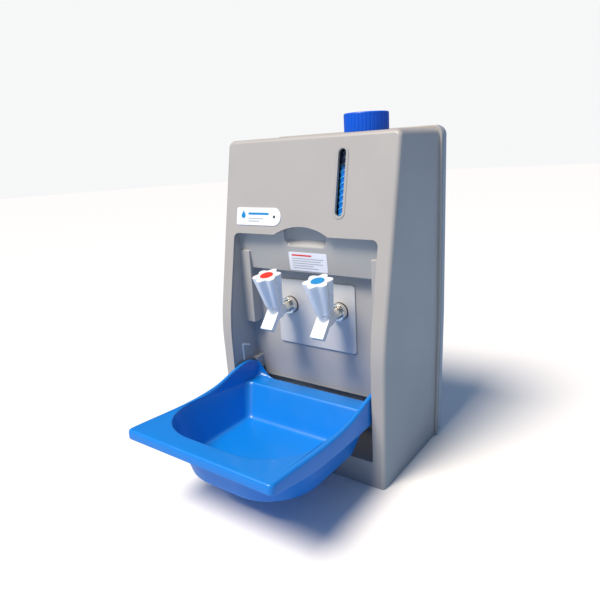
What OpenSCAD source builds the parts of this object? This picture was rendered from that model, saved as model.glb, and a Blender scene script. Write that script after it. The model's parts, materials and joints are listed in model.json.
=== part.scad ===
// Wall or worktop hand-wash unit: a moulded housing with a fresh-water tank, a small hot tank,
// two taps over a basin that folds up to close the recess, and a waste tank below.
// The origin is the middle of the housing's base, +Z is up and the front faces -Y.

/* [Housing] */
// Width of the housing
body_w = 300; // [280:1:360]
// Depth of the housing, with its rear cover
body_d = 202; // [190:1:250]
// Height of the housing
body_h = 497; // [485:1:600]
// Thickness of the moulded walls
wall = 3; // [2:0.1:3.6]
// Height at which the front begins to lean back
bend_h = 216; // [180:1:230]
// Distance that the top of the front is set back
lean = 57; // [30:1:60]
// How much each side draws in at the base
base_in = 4; // [0:0.5:8]
// Radius of the top corners seen from the front
top_r = 10; // [6:1:20]
// Radius of the front and rear top edges
edge_r = 9; // [5:1:14]
// Depth of the rear cover
cover_d = 18; // [16:1:24]
// Width of the raised rim in front of the rear cover
rim_w = 4; // [3:1:14]
// How far the rim and the rear cover stand out
rim_out = 4.5; // [2:0.5:6]
// Height of the rear cover's lower edge above the base
cover_gap = 9; // [4:1:12]

/* [Recess] */
// Width of the opening in the front
recess_w = 256; // [240:1:268]
// Height of the opening's lower edge
recess_bottom = 40; // [38:1:50]
// Height of the opening's upper edge
recess_top = 357; // [345:1:362]
// Radius of the opening's upper corners
recess_r = 9; // [4:1:16]
// Rise of the finger notch over the upper edge
notch_h = 13; // [8:1:16]
// Width of the finger notch
notch_w = 97; // [70:1:120]
// Thickness of the recess liner
liner_t = 2.5; // [2:0.1:3]
// Depth of the tap panel behind the front
panel_y = 61; // [60:1:68]
// Lower edge of the tap panel
panel_z = 158.5; // [150:0.5:165]
// Depth of the hopper wall behind the front
hopper_y = 66; // [65:1:72]
// Height at which the hopper wall becomes upright
hopper_z = 110; // [108:1:120]
// Depth of the gutter under the hopper, behind the front
gutter_y = 78; // [72:1:78]
// Height of the gutter's upper edge
gutter_z = 104; // [98:1:105]
// Depth of the brow's lower edge
brow_y = 46; // [42:1:50]
// Height of the brow's lower edge
brow_z = 298; // [292:1:304]
// Depth of the brow at its top
brow_top_y = 38; // [36:1:40]
// Width of the side columns
column_w = 10; // [6:1:11]
// Depth of the side columns' front faces
column_y = 40; // [38:1:48]

/* [Taps] */
// Distance of each tap from the middle
tap_x = 46; // [38:1:56]
// Height of the tap stems
tap_z = 240.5; // [225:0.5:245]
// Depth of the valve axis behind the front
valve_y = 18; // [16:1:24]
// Forward tilt of the tap knobs
tap_tilt = 14.5; // [0:0.5:20]
// Radius of a knob over its lobes
knob_r = 22.5; // [18:0.5:24]
// Radius of a knob at its foot
knob_foot_r = 13; // [11:0.5:15]
// Height of a knob
knob_h = 52; // [44:1:54]
// Radius of the coloured disc on a knob
disc_r = 10; // [7:0.5:12]
// Radius of a tap stem
stem_r = 9; // [8:0.5:11]
// Radius of a tap's threaded shank
shank_r = 7; // [6:0.5:8]
// Radius of a valve spindle
spindle_r = 3; // [2.5:0.5:4]

/* [Basin] */
// Clearance between the basin and each side of the recess
basin_gap = 2.5; // [1.5:0.5:4]
// Reach of the basin in front of the housing
basin_reach = 220; // [180:1:222]
// Height of the front lip
lip_z = 130; // [128:1:132]
// Height of the bowl's floor
bowl_floor = 55; // [52:1:80]
// Depth of the bowl's rear edge behind the front
bowl_back = 18; // [6:1:22]
// Radius of the bowl's front corners
bowl_r = 78; // [40:1:90]
// Wall of the basin
basin_t = 3; // [2.5:0.1:3.5]
// Thickness of the side wings
wing_t = 8; // [8:0.5:9]
// Depth of the hinge axis behind the front
hinge_y = 13; // [12:1:16]
// Height of the hinge axis
hinge_z = 117; // [116:0.5:118]
// Radius of a hinge pin
pin_r = 4; // [3:0.5:4]

/* [Tanks] */
// Height of the shelf that carries the tanks
shelf_z = 204; // [200:1:206]
// Wall of the blow-moulded tanks
tank_t = 2.5; // [2:0.1:3]
// Depth of the tanks' front faces behind the front
tank_y = 84; // [82:1:90]
// Sideways place of the filler neck
filler_x = 63; // [40:1:80]
// Depth of the filler neck behind the front
filler_y = 122; // [118:1:130]
// Outer radius of the filler neck
neck_r = 28; // [24:0.5:29]
// Radius of the hot-water tank
hot_r = 42; // [36:1:44]
// Outer radius of the drain neck
drain_r = 14; // [12:0.5:15]
// Sideways place of the level tube and its slot
sight_x = 64; // [50:1:90]
// Width of the sight slot
sight_w = 15; // [12:1:17]
// Height of the sight slot's lower end
sight_z0 = 385; // [380:1:395]
// Height of the sight slot's upper end
sight_z1 = 478; // [450:1:480]

/* [Badge and label] */
// Left edge of the badge
badge_x0 = -123; // [-135:1:-90]
// Right edge of the badge
badge_x1 = -36; // [-60:1:-20]
// Height of the badge's middle
badge_z = 383; // [380:1:400]
// Height of the badge
badge_h = 27; // [18:1:27]
// Width of the label on the brow
label_w = 69; // [50:1:74]
// Height of the label on the brow
label_h = 29; // [20:1:32]

/* [Hidden] */
$fn = 64;

gap = 0.3;                                // clearance between pieces that only lie together
run = 0.05;                               // radial clearance of turning fits
cut = 1;                                  // how far a cutter runs past the face that it opens
shell_d = body_d - cover_d;               // depth of the front housing
slope = lean / (body_h - bend_h);
lean_a = atan(slope);
blend_h = 34;                             // half height of the bend between upright and leaning front
half_w = body_w / 2;
in_w = recess_w / 2;
basin_w = recess_w - 2 * basin_gap;
bowl_w = basin_w - 2 * wing_t - 1;
brow_slope = (brow_y - brow_top_y) / (recess_top + notch_h + 4 - brow_z);
plate_t = 2.5;
plate_y = panel_y - plate_t;
valve_h = 9.5;                            // top of the valve body above the stem axis
knob_z = valve_h + 0.6;                   // foot of a knob on the valve axis
knob_top = knob_z + knob_h;
cover_z = body_h + rim_out;
boss_r = 5.5;
screw_r = 2;
screw_zs = [40, body_h * 0.5, body_h - 38];
sides = [-1, 1];

// Depth of the front face at a height: upright, then a smooth bend, then a straight lean
function front_at(z) = z <= bend_h - blend_h ? 0
    : z >= bend_h + blend_h ? slope * (z - bend_h)
    : slope * pow(z - bend_h + blend_h, 2) / (4 * blend_h);
// Half width of the housing at a height
function half_at(z) = half_w - base_in * max(0, 1 - z / bend_h);
// Depth of the brow's face at a height
function brow_at(z) = brow_y - brow_slope * (z - brow_z);
// Points of an arc
function arc(c, r, a0, a1, n = 8) =
    [for (i = [0:n]) c + r * [cos(a0 + (a1 - a0) * i / n), sin(a0 + (a1 - a0) * i / n)]];
// One point of the smooth curve through a, b, c and d, between b and c
function smooth(a, b, c, d, t) = 0.5 * (2 * b + (c - a) * t + (2 * a - 5 * b + 4 * c - d) * t * t
    + (3 * b - a - 3 * c + d) * t * t * t);
// Smooth curve through every point of a list, with n steps between points
function curve(p, n = 6) = concat([for (i = [0:len(p) - 2], k = [0:n - 1])
    smooth(p[max(i - 1, 0)], p[i], p[i + 1], p[min(i + 2, len(p) - 1)], k / n)], [p[len(p) - 1]]);

// ---- Placing helpers: y is measured back from the front face ----
module from_front() translate([0, -body_d / 2, 0]) children();
// Extrudes a (y, z) outline across the width w, about the middle
module across(w, x = 0) translate([x - w / 2, 0, 0]) rotate([90, 0, 90])
    linear_extrude(w) children();
// Extrudes an (x, z) outline from y0 back to y1
module back(y0, y1) translate([0, y1, 0]) rotate([90, 0, 0]) linear_extrude(y1 - y0) children();
// A cylinder along Y from y0 to y1
module rod_y(r, y0, y1, x = 0, z = 0) translate([x, y0, z]) rotate([-90, 0, 0])
    cylinder(r = r, h = y1 - y0);
// A cylinder along X from x0 to x1
module rod_x(r, x0, x1, y = 0, z = 0) translate([x0, y, z]) rotate([0, 90, 0])
    cylinder(r = r, h = x1 - x0);
// On the leaning front: -Y leaves the face and Z runs up the slope
module on_slope(x, z) translate([x, slope * (z - bend_h), z]) rotate([-lean_a, 0, 0]) children();
// On the valve axis of one tap: Z runs up the axis
module on_tap(side) from_front() translate([side * tap_x, valve_y, tap_z])
    rotate([tap_tilt, 0, 0]) children();
// Rounded rectangle about the origin
module plate2d(w, h, r) union() {
    square([w - 2 * r, h], center = true);
    square([w, h - 2 * r], center = true);
    for (sx = sides, sy = sides) translate([sx * (w / 2 - r), sy * (h / 2 - r)]) circle(r);
}
// Slot with round ends, from (0, 0) up to (0, h)
module slot2d(w, h) union() {
    translate([-w / 2, w / 2]) square([w, h - w]);
    translate([0, w / 2]) circle(d = w);
    translate([0, h - w / 2]) circle(d = w);
}

// ---- Housing outlines ----
// Side outline of the housing, set in by d from every outer face, back to depth y1
module side_outline(d, y1, z0 = 0) {
    r = max(edge_r - d, 1);
    top = body_h - d;
    shift = d / cos(lean_a);
    polygon(concat(
        [[y1, top], [y1, z0 + max(d, 0)], [d, z0 + max(d, 0)]],
        [for (i = [0:10]) let (z = bend_h - blend_h + 2 * blend_h * i / 10) [front_at(z)
            + d + (shift - d) * i / 10, z]],
        arc([front_at(top - r) + shift + r / cos(lean_a), top - r], r, 180 - lean_a, 90)));
}
// Front outline of the housing, set in by d
module front_outline(d, z0 = 0) {
    r = max(top_r - d, 1);
    polygon(concat(
        [[-half_at(z0) + d, z0 + max(d, 0)], [half_at(z0) - d, z0 + max(d, 0)], [half_w - d, bend_h]],
        arc([half_w - d - r, body_h - d - r], r, 0, 90),
        arc([-half_w + d + r, body_h - d - r], r, 90, 180),
        [[-half_w + d, bend_h]]));
}
// Everything inside the outer faces, set in by d
module housing_block(d, y1) intersection() {
    across(body_w + 40) side_outline(d, y1);
    back(-cut, y1 + cut) front_outline(d);
}
// Opening in the front, with the finger notch in its upper edge
module opening2d() {
    notch_r = (notch_w * notch_w / 4 + notch_h * notch_h) / (2 * notch_h);
    polygon(concat(
        [[-in_w, recess_bottom], [in_w, recess_bottom]],
        arc([in_w - recess_r, recess_top - recess_r], recess_r, 0, 90),
        arc([-in_w + recess_r, recess_top - recess_r], recess_r, 90, 180)));
    intersection() {
        translate([0, recess_top + notch_h - notch_r]) circle(notch_r);
        translate([-notch_w, recess_top - recess_r]) square([2 * notch_w, notch_h + recess_r + cut]);
    }
}

// ---- Housing ----
module front_housing() color([0.78, 0.77, 0.75]) from_front() difference() {
    union() {
        difference() {
            union() {
                housing_block(0, shell_d);
                back(shell_d - rim_w, shell_d) front_outline(-rim_out);
            }
            housing_block(wall, shell_d + cut);
            back(-cut, brow_top_y) opening2d();
        }
        for (s = sides) translate([s * (half_w - wall - 4) - 5, tank_y + 6, shelf_z - 8])
            cube([10, shell_d - tank_y - 14, 8]);
    }
    translate([filler_x, filler_y, body_h - wall - cut])
        cylinder(r = flats(neck_r + 1), h = wall + 2 * cut, $fn = 12);
    on_slope(sight_x, sight_z0) back(-cut, wall + cut) slot2d(sight_w, slot_len);
    on_slope(led_x, badge_z) rod_y(flats(led_r + gap), -cut, wall + cut, $fn = 12);
    rod_x(flats(drain_r + 1), -half_w - 2 * cut, -half_w + 2 * wall + base_in, drain_y, drain_z,
        $fn = 12);
    rod_x(flats(inlet_r + gap), -half_w - 2 * cut, -half_w + 2 * wall + base_in, inlet_y, inlet_z,
        $fn = 12);
}
// Corner radius of a twelve-sided hole whose flats are r from its middle
function flats(r) = r / cos(15);
// Six posts along the rear edge that the cover screws bite into
module screw_posts() color([0.78, 0.77, 0.75]) from_front() for (s = sides, z = screw_zs)
    difference() {
        intersection() {
            rod_y(boss_r, shell_d - 34, shell_d, s * (half_at(z) - wall - boss_r + 1), z);
            housing_block(wall, shell_d);
        }
        rod_y(screw_r + 0.1, shell_d - 20, shell_d + cut, s * (half_at(z) - wall - boss_r + 1), z);
    }
slot_len = (sight_z1 - sight_z0) / cos(lean_a);
led_r = 2;
led_x = badge_x1 - badge_h / 2 + 1;
drain_y = 128;
drain_z = 27;
inlet_y = 152;
inlet_z = 272;
inlet_r = 11;
insert_x = 80;
insert_zs = [120, 400];
insert_r = 3.5;
insert_l = 10;

// Rear cover: a shallow tray with screw and insert bosses
module rear_cover() color([0.66, 0.67, 0.68]) from_front() difference() {
    union() {
        difference() {
            cover_block(0);
            translate([0, -wall, 0]) cover_block(wall);
        }
        for (s = sides, z = screw_zs) intersection() {
            rod_y(boss_r + 2, shell_d, body_d - 0.5, s * (half_at(z) - wall - boss_r + 1), z);
            cover_block(0.2);
        }
        for (s = sides, z = insert_zs) rod_y(insert_r + 3, body_d - insert_l - 2, body_d - 0.5,
            s * insert_x, z);
    }
    for (s = sides, z = screw_zs) {
        rod_y(screw_r + 0.2, shell_d - cut, body_d, s * (half_at(z) - wall - boss_r + 1), z);
        rod_y(screw_r + 2.2, shell_d + 6, body_d + cut, s * (half_at(z) - wall - boss_r + 1), z);
    }
    for (s = sides, z = insert_zs)
        rod_y(insert_r, body_d - insert_l, body_d + cut, s * insert_x, z);
}
// Rounded block of the rear cover, set in by d
module cover_block(d) intersection() {
    back(shell_d - (d > 0 ? cut : 0), body_d) difference() {
        front_outline(d - rim_out);
        translate([-body_w, -body_h]) square([2 * body_w, body_h + cover_gap + d]);
    }
    across(body_w + 40) polygon(concat(
        [[shell_d - 2 * cut, cover_z - d], [shell_d - 2 * cut, cover_gap + d],
         [body_d, cover_gap + d]],
        arc([body_d - edge_r, cover_z - d - edge_r], edge_r, 0, 90)));
}
// Six screws that hold the rear cover
module cover_screws() color([0.6, 0.6, 0.62]) from_front() for (s = sides, z = screw_zs)
    translate([s * (half_at(z) - wall - boss_r + 1), 0, z]) difference() {
        union() {
            rod_y(screw_r, shell_d - 16, shell_d + 6);
            rod_y(screw_r + 1.8, shell_d + 6, shell_d + 9);
        }
        rod_y(0.9, shell_d + 7.5, shell_d + 9 + cut);
    }
// Four brass inserts for wall screws
module wall_inserts() color([0.8, 0.65, 0.3]) from_front() for (s = sides, z = insert_zs)
    translate([s * insert_x, 0, z]) difference() {
        rod_y(insert_r, body_d - insert_l, body_d);
        rod_y(2.1, body_d - insert_l - cut, body_d + cut);
    }

// ---- Recess ----
// Side outline of the recess, grown by t behind its walls
module recess_outline(t) polygon([
    [-20, recess_bottom - t], [gutter_y + t, recess_bottom - t], [gutter_y + t, gutter_z + t],
    [hopper_y + t, gutter_z + t], [hopper_y + t, hopper_z],
    [panel_y + t, panel_z], [panel_y + t, brow_z + t], [brow_y + t, brow_z + t],
    [brow_top_y + t, recess_top + notch_h + 4 + t], [-20, recess_top + notch_h + 4 + t]]);
scoop_w = 74;
scoop_y = 50;
spigot_y = 34;
spigot_r = 16;
// Moulded liner of the wet side: brow, tap panel, hopper and side walls
module recess_liner() color([0.55, 0.6, 0.66]) from_front() difference() {
    intersection() {
        union() {
            difference() {
                union() {
                    across(recess_w + 2 * liner_t) recess_outline(liner_t);
                    across(scoop_w + 2 * liner_t) polygon([[brow_top_y, recess_top - 30],
                        [scoop_y + liner_t, recess_top - 24], [scoop_y + liner_t, recess_top + 16],
                        [brow_top_y, recess_top + 16]]);
                }
                across(recess_w) recess_outline(0);
            }
            for (s = sides) {
                across(column_w, s * (in_w - column_w / 2)) polygon([[column_y, column_top],
                    [column_y, column_foot], [panel_y + 0.5, column_foot],
                    [panel_y + 0.5, column_top]]);
                across(lug_w, s * (in_w - lug_w / 2)) polygon([[wing_back + 1, lug_foot],
                    [wing_back - 10, lug_foot + 18], [wing_back - 10, lug_top],
                    [hopper_y, lug_top], [hopper_y, lug_foot]]);
                rod_x(pin_r + 4, s > 0 ? in_w + liner_t / 2 : -in_w - 8,
                    s > 0 ? in_w + 8 : -in_w - liner_t / 2, hinge_y, hinge_z);
            }
            rod_z(spigot_r, recess_bottom - 12, recess_bottom - liner_t / 2, 0, spigot_y);
        }
        housing_block(wall + gap, shell_d);
    }
    across(scoop_w) polygon([[0, recess_top - 19], [brow_at(recess_top - 19), recess_top - 19],
        [scoop_y, recess_top - 9], [scoop_y, recess_top + 14], [0, recess_top + 14]]);
    for (s = sides) {
        rod_x(pin_r, s > 0 ? in_w - cut : -in_w - 9, s > 0 ? in_w + 9 : -in_w + cut,
            hinge_y, hinge_z);
        rod_y(shank_r + gap, panel_y - cut, panel_y + liner_t + cut, s * tap_x, tap_z);
        clip_wire(s, clip_r + gap);
    }
    rod_z(spigot_r - liner_t, recess_bottom - 13, recess_bottom + cut, 0, spigot_y);
}
column_top = recess_top - 30;
column_foot = panel_z + 48;
lug_w = wing_t + basin_gap;               // lugs that the open basin's wings rest against
lug_foot = 118.6;
lug_top = 141;
// A cylinder along Z from z0 to z1
module rod_z(r, z0, z1, x = 0, y = 0) translate([x, y, z0]) cylinder(r = r, h = z1 - z0);
// Raised plate behind the taps
module tap_plate() color([0.8, 0.84, 0.88]) from_front() difference() {
    back(plate_y, panel_y) translate([0, tap_z - 12]) plate2d(144, 107, 5);
    for (s = sides) rod_y(shank_r + gap, plate_y - cut, panel_y + cut, s * tap_x, tap_z);
}
// Instruction label on the brow
module info_label() color([0.8, 0.78, 0.86]) from_front()
    translate([1.5, brow_at(brow_z + label_h / 2 + 3), brow_z + label_h / 2 + 3])
        rotate([atan(brow_slope), 0, 0]) back(-0.4, 0) plate2d(label_w, label_h, 2);
// Bent wire clips set in grooves of the side walls
clip_r = 1;
clip_points = [[41, 164], [24, 170], [25, 142]];
module clip_wire(s, r) translate([s * (in_w - clip_r + 0.2), 0, 0]) {
    for (i = [0:1]) {
        a = clip_points[i];
        b = clip_points[i + 1];
        translate([0, a[0], a[1]]) rotate([-90 + atan2(b[1] - a[1], b[0] - a[0]), 0, 0])
            cylinder(r = r, h = norm(b - a));
    }
    for (p = clip_points) translate([0, p[0], p[1]]) sphere(r * 1.2);
}
module side_clips() color([0.9, 0.9, 0.9]) from_front() for (s = sides) clip_wire(s, clip_r);

// ---- Basin ----
wing_back = 56;                           // rear end of the wings behind the front
deck_y = -100;                            // where the deck's inner floor leaves the rim
rim_points = [[-basin_reach, lip_z], [-110, lip_z - 6.5], [-48, lip_z - 3.5], [-10, lip_z + 7],
              [26, lip_z + 13], [wing_back - 11, lip_z + 6], [wing_back, lip_z - 12]];
skirt_points = [[wing_back, 99], [0, 98], [-70, 98], [-128, 100], [-170, 106],
                [-basin_reach, lip_z - 14]];
// Height of the inner floor between the wings
function deck_at(y) = 123.8 - 0.132 * (y - deck_y);
bowl_front = -190;                        // front end of the bowl's rim
side_slope = 17;                          // how far the bowl's sides draw in down to its floor
front_slope = 19;
back_slope = 25;
floor_r = bowl_r - 8;                     // front corners at the bowl's floor
rear_r = 12;                              // rear corners at the rim and at the floor
rear_floor_r = 10;
slice = 0.1;
// Bowl, grown by g on every side, from its floor up to z
module bowl_solid(g, z) hull() {
    for (s = sides) {
        translate([s * (bowl_w / 2 - bowl_r), bowl_front + bowl_r, z - slice])
            cylinder(r = bowl_r + g, h = slice);
        translate([s * (bowl_w / 2 - rear_r), bowl_back - rear_r, z - slice])
            cylinder(r = rear_r + g, h = slice);
        translate([s * (bowl_w / 2 - side_slope - floor_r), bowl_front + front_slope + floor_r,
            bowl_floor - g]) cylinder(r = floor_r + g, h = slice);
        translate([s * (bowl_w / 2 - side_slope - rear_floor_r),
            bowl_back - back_slope - rear_floor_r, bowl_floor - g])
            cylinder(r = rear_floor_r + g, h = slice);
    }
}
module basin() color([0.0, 0.5, 0.91]) from_front() difference() {
    union() {
        difference() {
            intersection() {
                across(basin_w) polygon(concat(curve(rim_points), curve(skirt_points, 3)));
                translate([0, (wing_back - basin_reach) / 2, 0])
                    linear_extrude(200) plate2d(basin_w, wing_back + basin_reach, 5);
            }
            across(basin_w - 2 * basin_t) polygon([[-basin_reach + basin_t, 60],
                [-basin_reach + basin_t, lip_z - 5], [-110, lip_z - 11],
                [deck_y, deck_at(deck_y) - basin_t - 1], [wing_back - basin_t,
                deck_at(wing_back) - basin_t], [wing_back - basin_t, 60]]);
        }
        intersection() {
            bowl_solid(basin_t, 130);
            across(basin_w) polygon([[-basin_reach, 40], [-basin_reach, lip_z - 3],
                [-110, lip_z - 9], [deck_y, deck_at(deck_y) - 1], [wing_back, deck_at(wing_back) - 1],
                [wing_back, 40]]);
        }
    }
    bowl_solid(0, 150);
    across(basin_w - 2 * wing_t) polygon([[deck_y, deck_at(deck_y)], [wing_back + cut,
        deck_at(wing_back + cut)], [wing_back + cut, 160], [deck_y, 160]]);
    for (s = sides) rod_x(bush_r, s > 0 ? basin_w / 2 - bush_l : -basin_w / 2 - cut,
        s > 0 ? basin_w / 2 + cut : -basin_w / 2 + bush_l, hinge_y, hinge_z);
}
bush_r = 6;
bush_l = 6;
flange_t = 1.2;
// Pins fixed in the liner's side walls
module hinge_pins() color([0.75, 0.75, 0.77]) from_front() for (s = sides)
    rod_x(pin_r, s > 0 ? basin_w / 2 - bush_l + 0.5 : -in_w - 8,
        s > 0 ? in_w + 8 : -basin_w / 2 + bush_l - 0.5, hinge_y, hinge_z);
// Flanged bushes pressed into the basin
module hinge_bushes() color([0.92, 0.92, 0.9]) from_front() for (s = sides) mirror([s > 0 ? 0 : 1, 0, 0])
    difference() {
        union() {
            rod_x(bush_r, basin_w / 2 - bush_l, basin_w / 2, hinge_y, hinge_z);
            rod_x(bush_r + 2, basin_w / 2, basin_w / 2 + flange_t, hinge_y, hinge_z);
        }
        rod_x(pin_r + run, basin_w / 2 - bush_l - cut, in_w, hinge_y, hinge_z);
    }

// ---- Sight slot, badge ----
// Rim around the sight slot
module sight_bezel() color([0.86, 0.86, 0.85]) from_front() on_slope(sight_x, sight_z0) difference() {
    union() {
        translate([0, 0, -2.5]) back(-0.8, 0) slot2d(sight_w + 5, slot_len + 5);
        translate([0, 0, gap]) back(-0.4, wall + 1) slot2d(sight_w - 2 * gap, slot_len - 2 * gap);
    }
    translate([0, 0, 1.5]) back(-2, wall + 3) slot2d(sight_w - 3, slot_len - 3);
}
// Blue level tube behind the slot, with two stubs to the tank
tube_r = 6;
tube_in = 4.5;
module level_tube() color([0.05, 0.35, 0.8]) from_front() {
    stub_zs = [sight_z0 - 4, sight_z1 + 1];
    difference() {
        union() {
            on_slope(sight_x, sight_z0) translate([0, wall + 2 + tube_r, -6])
                cylinder(r = tube_r, h = slot_len + 12);
            for (z = stub_zs) rod_y(tube_in, slope * (z - bend_h) + wall + tube_r + 3, tank_y,
                sight_x, z);
        }
        on_slope(sight_x, sight_z0) translate([0, wall + 2 + tube_r, -4.5])
            cylinder(r = tube_in, h = slot_len + 9);
        for (z = stub_zs) rod_y(2.5, slope * (z - bend_h) + wall + tube_r + 3, tank_y + cut,
            sight_x, z);
    }
}
// Badge with one square end and one round end
module badge() color([0.95, 0.96, 0.97]) from_front() on_slope(0, badge_z) difference() {
    back(-1, 0) union() {
        translate([badge_x0 + 3, -badge_h / 2]) square([badge_x1 - badge_x0 - badge_h / 2 - 3, badge_h]);
        translate([badge_x0, -badge_h / 2 + 3]) square([6, badge_h - 6]);
        for (s = sides) translate([badge_x0 + 3, s * (badge_h / 2 - 3)]) circle(3);
        translate([badge_x1 - badge_h / 2, 0]) circle(badge_h / 2);
    }
    translate([led_x, 0, 0]) rod_y(led_r + 0.1, -2, 1);
}
// Indicator lamp in the badge
module status_led() color([0.1, 0.15, 0.2]) from_front() on_slope(led_x, badge_z) union() {
    rod_y(led_r, -1.4, wall + 4);
    rod_y(led_r + 1.2, wall + gap, wall + 4);
}

// ---- Water side ----
tank_back = shell_d - 6;
tank_top = body_h - wall - 6;
tank_step = 92;                           // height of the room for the hot tank
tank_in_w = half_w - wall - 2 * boss_r;     // leaves room for the screw bosses
module fresh_outline(d) polygon([
    [-tank_in_w + d, shelf_z + 2 + tank_step + d], [-tank_in_w + d, tank_top - d],
    [tank_in_w - d, tank_top - d], [tank_in_w - d, shelf_z + 2 + d], [-14 + d, shelf_z + 2 + d],
    [-14 + d, shelf_z + 2 + tank_step + d]]);
module fresh_tank() color([0.93, 0.94, 0.95], 0.6) from_front() difference() {
    union() {
        back(tank_y, tank_back) fresh_outline(0);
        rod_z(neck_r, tank_top - 1, neck_top, filler_x, filler_y);
    }
    back(tank_y + tank_t, tank_back - tank_t) fresh_outline(tank_t);
    rod_z(neck_r - 3, tank_top - 2 * tank_t, neck_top + cut, filler_x, filler_y);
    rod_y(2.5, tank_y - cut, tank_y + 2 * tank_t, sight_x, sight_z0 - 4);
    rod_y(2.5, tank_y - cut, tank_y + 2 * tank_t, sight_x, sight_z1 + 1);
    rod_y(4, tank_y - cut, tank_y + 2 * tank_t, tap_x, tap_z);
    rod_z(4, shelf_z + tank_step, shelf_z + tank_step + 4 * tank_t, hot_x, hot_y);
}
cap_z = body_h + 1;                       // underside of the filler cap
cap_h = 26;
neck_top = cap_z + cap_h - 3 - 2;
seal_t = 1.8;
// Screw cap about Z with a closed top: h high, t thick and with n grip grooves
module screw_cap(r, r_in, h, t, n) difference() {
    rotate_extrude() polygon(concat([[0, 0], [r, 0]], arc([r - 2, h - 2], 2, 0, 90, 4), [[0, h]]));
    translate([0, 0, -cut]) cylinder(r = r_in, h = h - t + cut);
    for (i = [0:n - 1]) rotate(360 * i / n) translate([r + 0.5, 0, -cut])
        cylinder(r = 1.1, h = h - 3 + cut);
}
module filler_seal() color([0.15, 0.15, 0.15]) from_front() translate([filler_x, filler_y, neck_top])
    difference() {
        cylinder(r = neck_r, h = seal_t);
        translate([0, 0, -cut]) cylinder(r = neck_r - 4, h = seal_t + 2 * cut);
    }
module filler_cap() color([0.0, 0.31, 0.88]) from_front() translate([filler_x, filler_y, cap_z])
    screw_cap(neck_r + 4.5, neck_r + gap, cap_h, 3, 36);

// Shelf that carries the fresh tank and the hot tank
module tank_shelf() color([0.7, 0.72, 0.74]) from_front() difference() {
    w = half_w - base_in * max(0, 1 - shelf_z / bend_h) - wall - gap;
    translate([-w, tank_y - 4, shelf_z]) cube([2 * w, tank_back - tank_y + 4, 2]);
    rod_z(17, shelf_z - cut, shelf_z + 3, hot_x, hot_y);
}
hot_x = -74;
hot_y = 130;
hot_z = shelf_z + 2;
hot_h = 80;
// Hot tank, with bosses for its pipe, its feed and its heater
module hot_tank() color([0.75, 0.77, 0.78]) from_front() difference() {
    union() {
        rod_z(hot_r, hot_z, hot_z + hot_h, hot_x, hot_y);
        rod_y(8, hot_y - hot_r + 2, hot_y, -tap_x, tap_z);
        rod_z(8, hot_z + hot_h - 1, hot_z + hot_h + 4, hot_x, hot_y);
        rod_x(9, hot_x - hot_r - 2, hot_x - hot_r + 8, hot_y, hot_z + 40);
    }
    rod_z(hot_r - 2, hot_z + 2, hot_z + hot_h - 2, hot_x, hot_y);
    rod_y(4, hot_y - hot_r, hot_y, -tap_x, tap_z);
    rod_z(4, hot_z + hot_h - 3, hot_z + hot_h + 5, hot_x, hot_y);
    rod_z(12, hot_z - cut, hot_z + 3, hot_x, hot_y);
}
// Immersion heater: a flange below the tank and two rods inside it
module heating_element() color([0.7, 0.6, 0.4]) from_front() translate([hot_x, hot_y, 0]) union() {
    rod_z(16, hot_z - 4, hot_z, 0, 0);
    rod_z(11.9, hot_z - 0.5, hot_z + 5);
    rod_z(7, hot_z - 16, hot_z - 3.5);
    for (s = sides) rod_z(3, hot_z + 4, hot_z + 56, s * 6, 0);
    rod_x(3, -6, 6, 0, hot_z + 56);
    for (s = sides) translate([s * 6, 0, hot_z + 56]) sphere(3);
}
// Disc thermostat on the side of the hot tank
module thermostat() color([0.2, 0.2, 0.22]) from_front() union() {
    rod_x(9, hot_x - hot_r - 10, hot_x - hot_r - 2, hot_y, hot_z + 40);
    for (s = sides) translate([hot_x - hot_r - 16, hot_y + s * 4 - 0.4, hot_z + 37])
        cube([6.5, 0.8, 6]);
}
// Straight pipe about Z
module pipe(r, h) difference() {
    cylinder(r = r, h = h);
    translate([0, 0, -cut]) cylinder(r = r - 2, h = h + 2 * cut);
}
module feed_pipe() color([0.85, 0.85, 0.85]) from_front()
    translate([hot_x, hot_y, hot_z + hot_h + 4]) pipe(6, tank_step - hot_h - 4);
module hot_pipe() color([0.8, 0.3, 0.25]) from_front()
    translate([-tap_x, shank_end, tap_z]) rotate([-90, 0, 0]) pipe(6, hot_y - hot_r + 2 - shank_end);
module cold_pipe() color([0.3, 0.5, 0.8]) from_front()
    translate([tap_x, shank_end, tap_z]) rotate([-90, 0, 0]) pipe(6, tank_y - shank_end);

// ---- Electrical side ----
// Terminal box on the back of the tap panel
module terminal_box() color([0.15, 0.15, 0.17]) from_front() difference() {
    translate([-124, panel_y + liner_t, 214]) cube([50, 14, 66]);
    translate([-122, panel_y + liner_t + 2, 216]) cube([46, 10, 62]);
    for (i = [0:2]) rod_y(2.5, panel_y + liner_t + 10, panel_y + liner_t + 16, -112 + 13 * i, 224);
}
// Low-voltage inlet socket in the left side wall
inlet_in = 6.1;
module power_inlet() color([0.12, 0.12, 0.13]) from_front() difference() {
    union() {
        rod_x(inlet_r + 5, -inlet_face - 3, -inlet_face, inlet_y, inlet_z);
        rod_x(inlet_r, -inlet_face - 1, -inlet_face + 24, inlet_y, inlet_z);
    }
    rod_x(inlet_in, -inlet_face - 4, -inlet_face + 20, inlet_y, inlet_z);
}
inlet_face = half_at(inlet_z);
module inlet_nut() color([0.6, 0.6, 0.62]) from_front() difference() {
    rod_x(inlet_r + 4, -inlet_face + wall, -inlet_face + wall + 4, inlet_y, inlet_z);
    rod_x(inlet_r + 0.1, -inlet_face, -inlet_face + 20, inlet_y, inlet_z);
}

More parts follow.
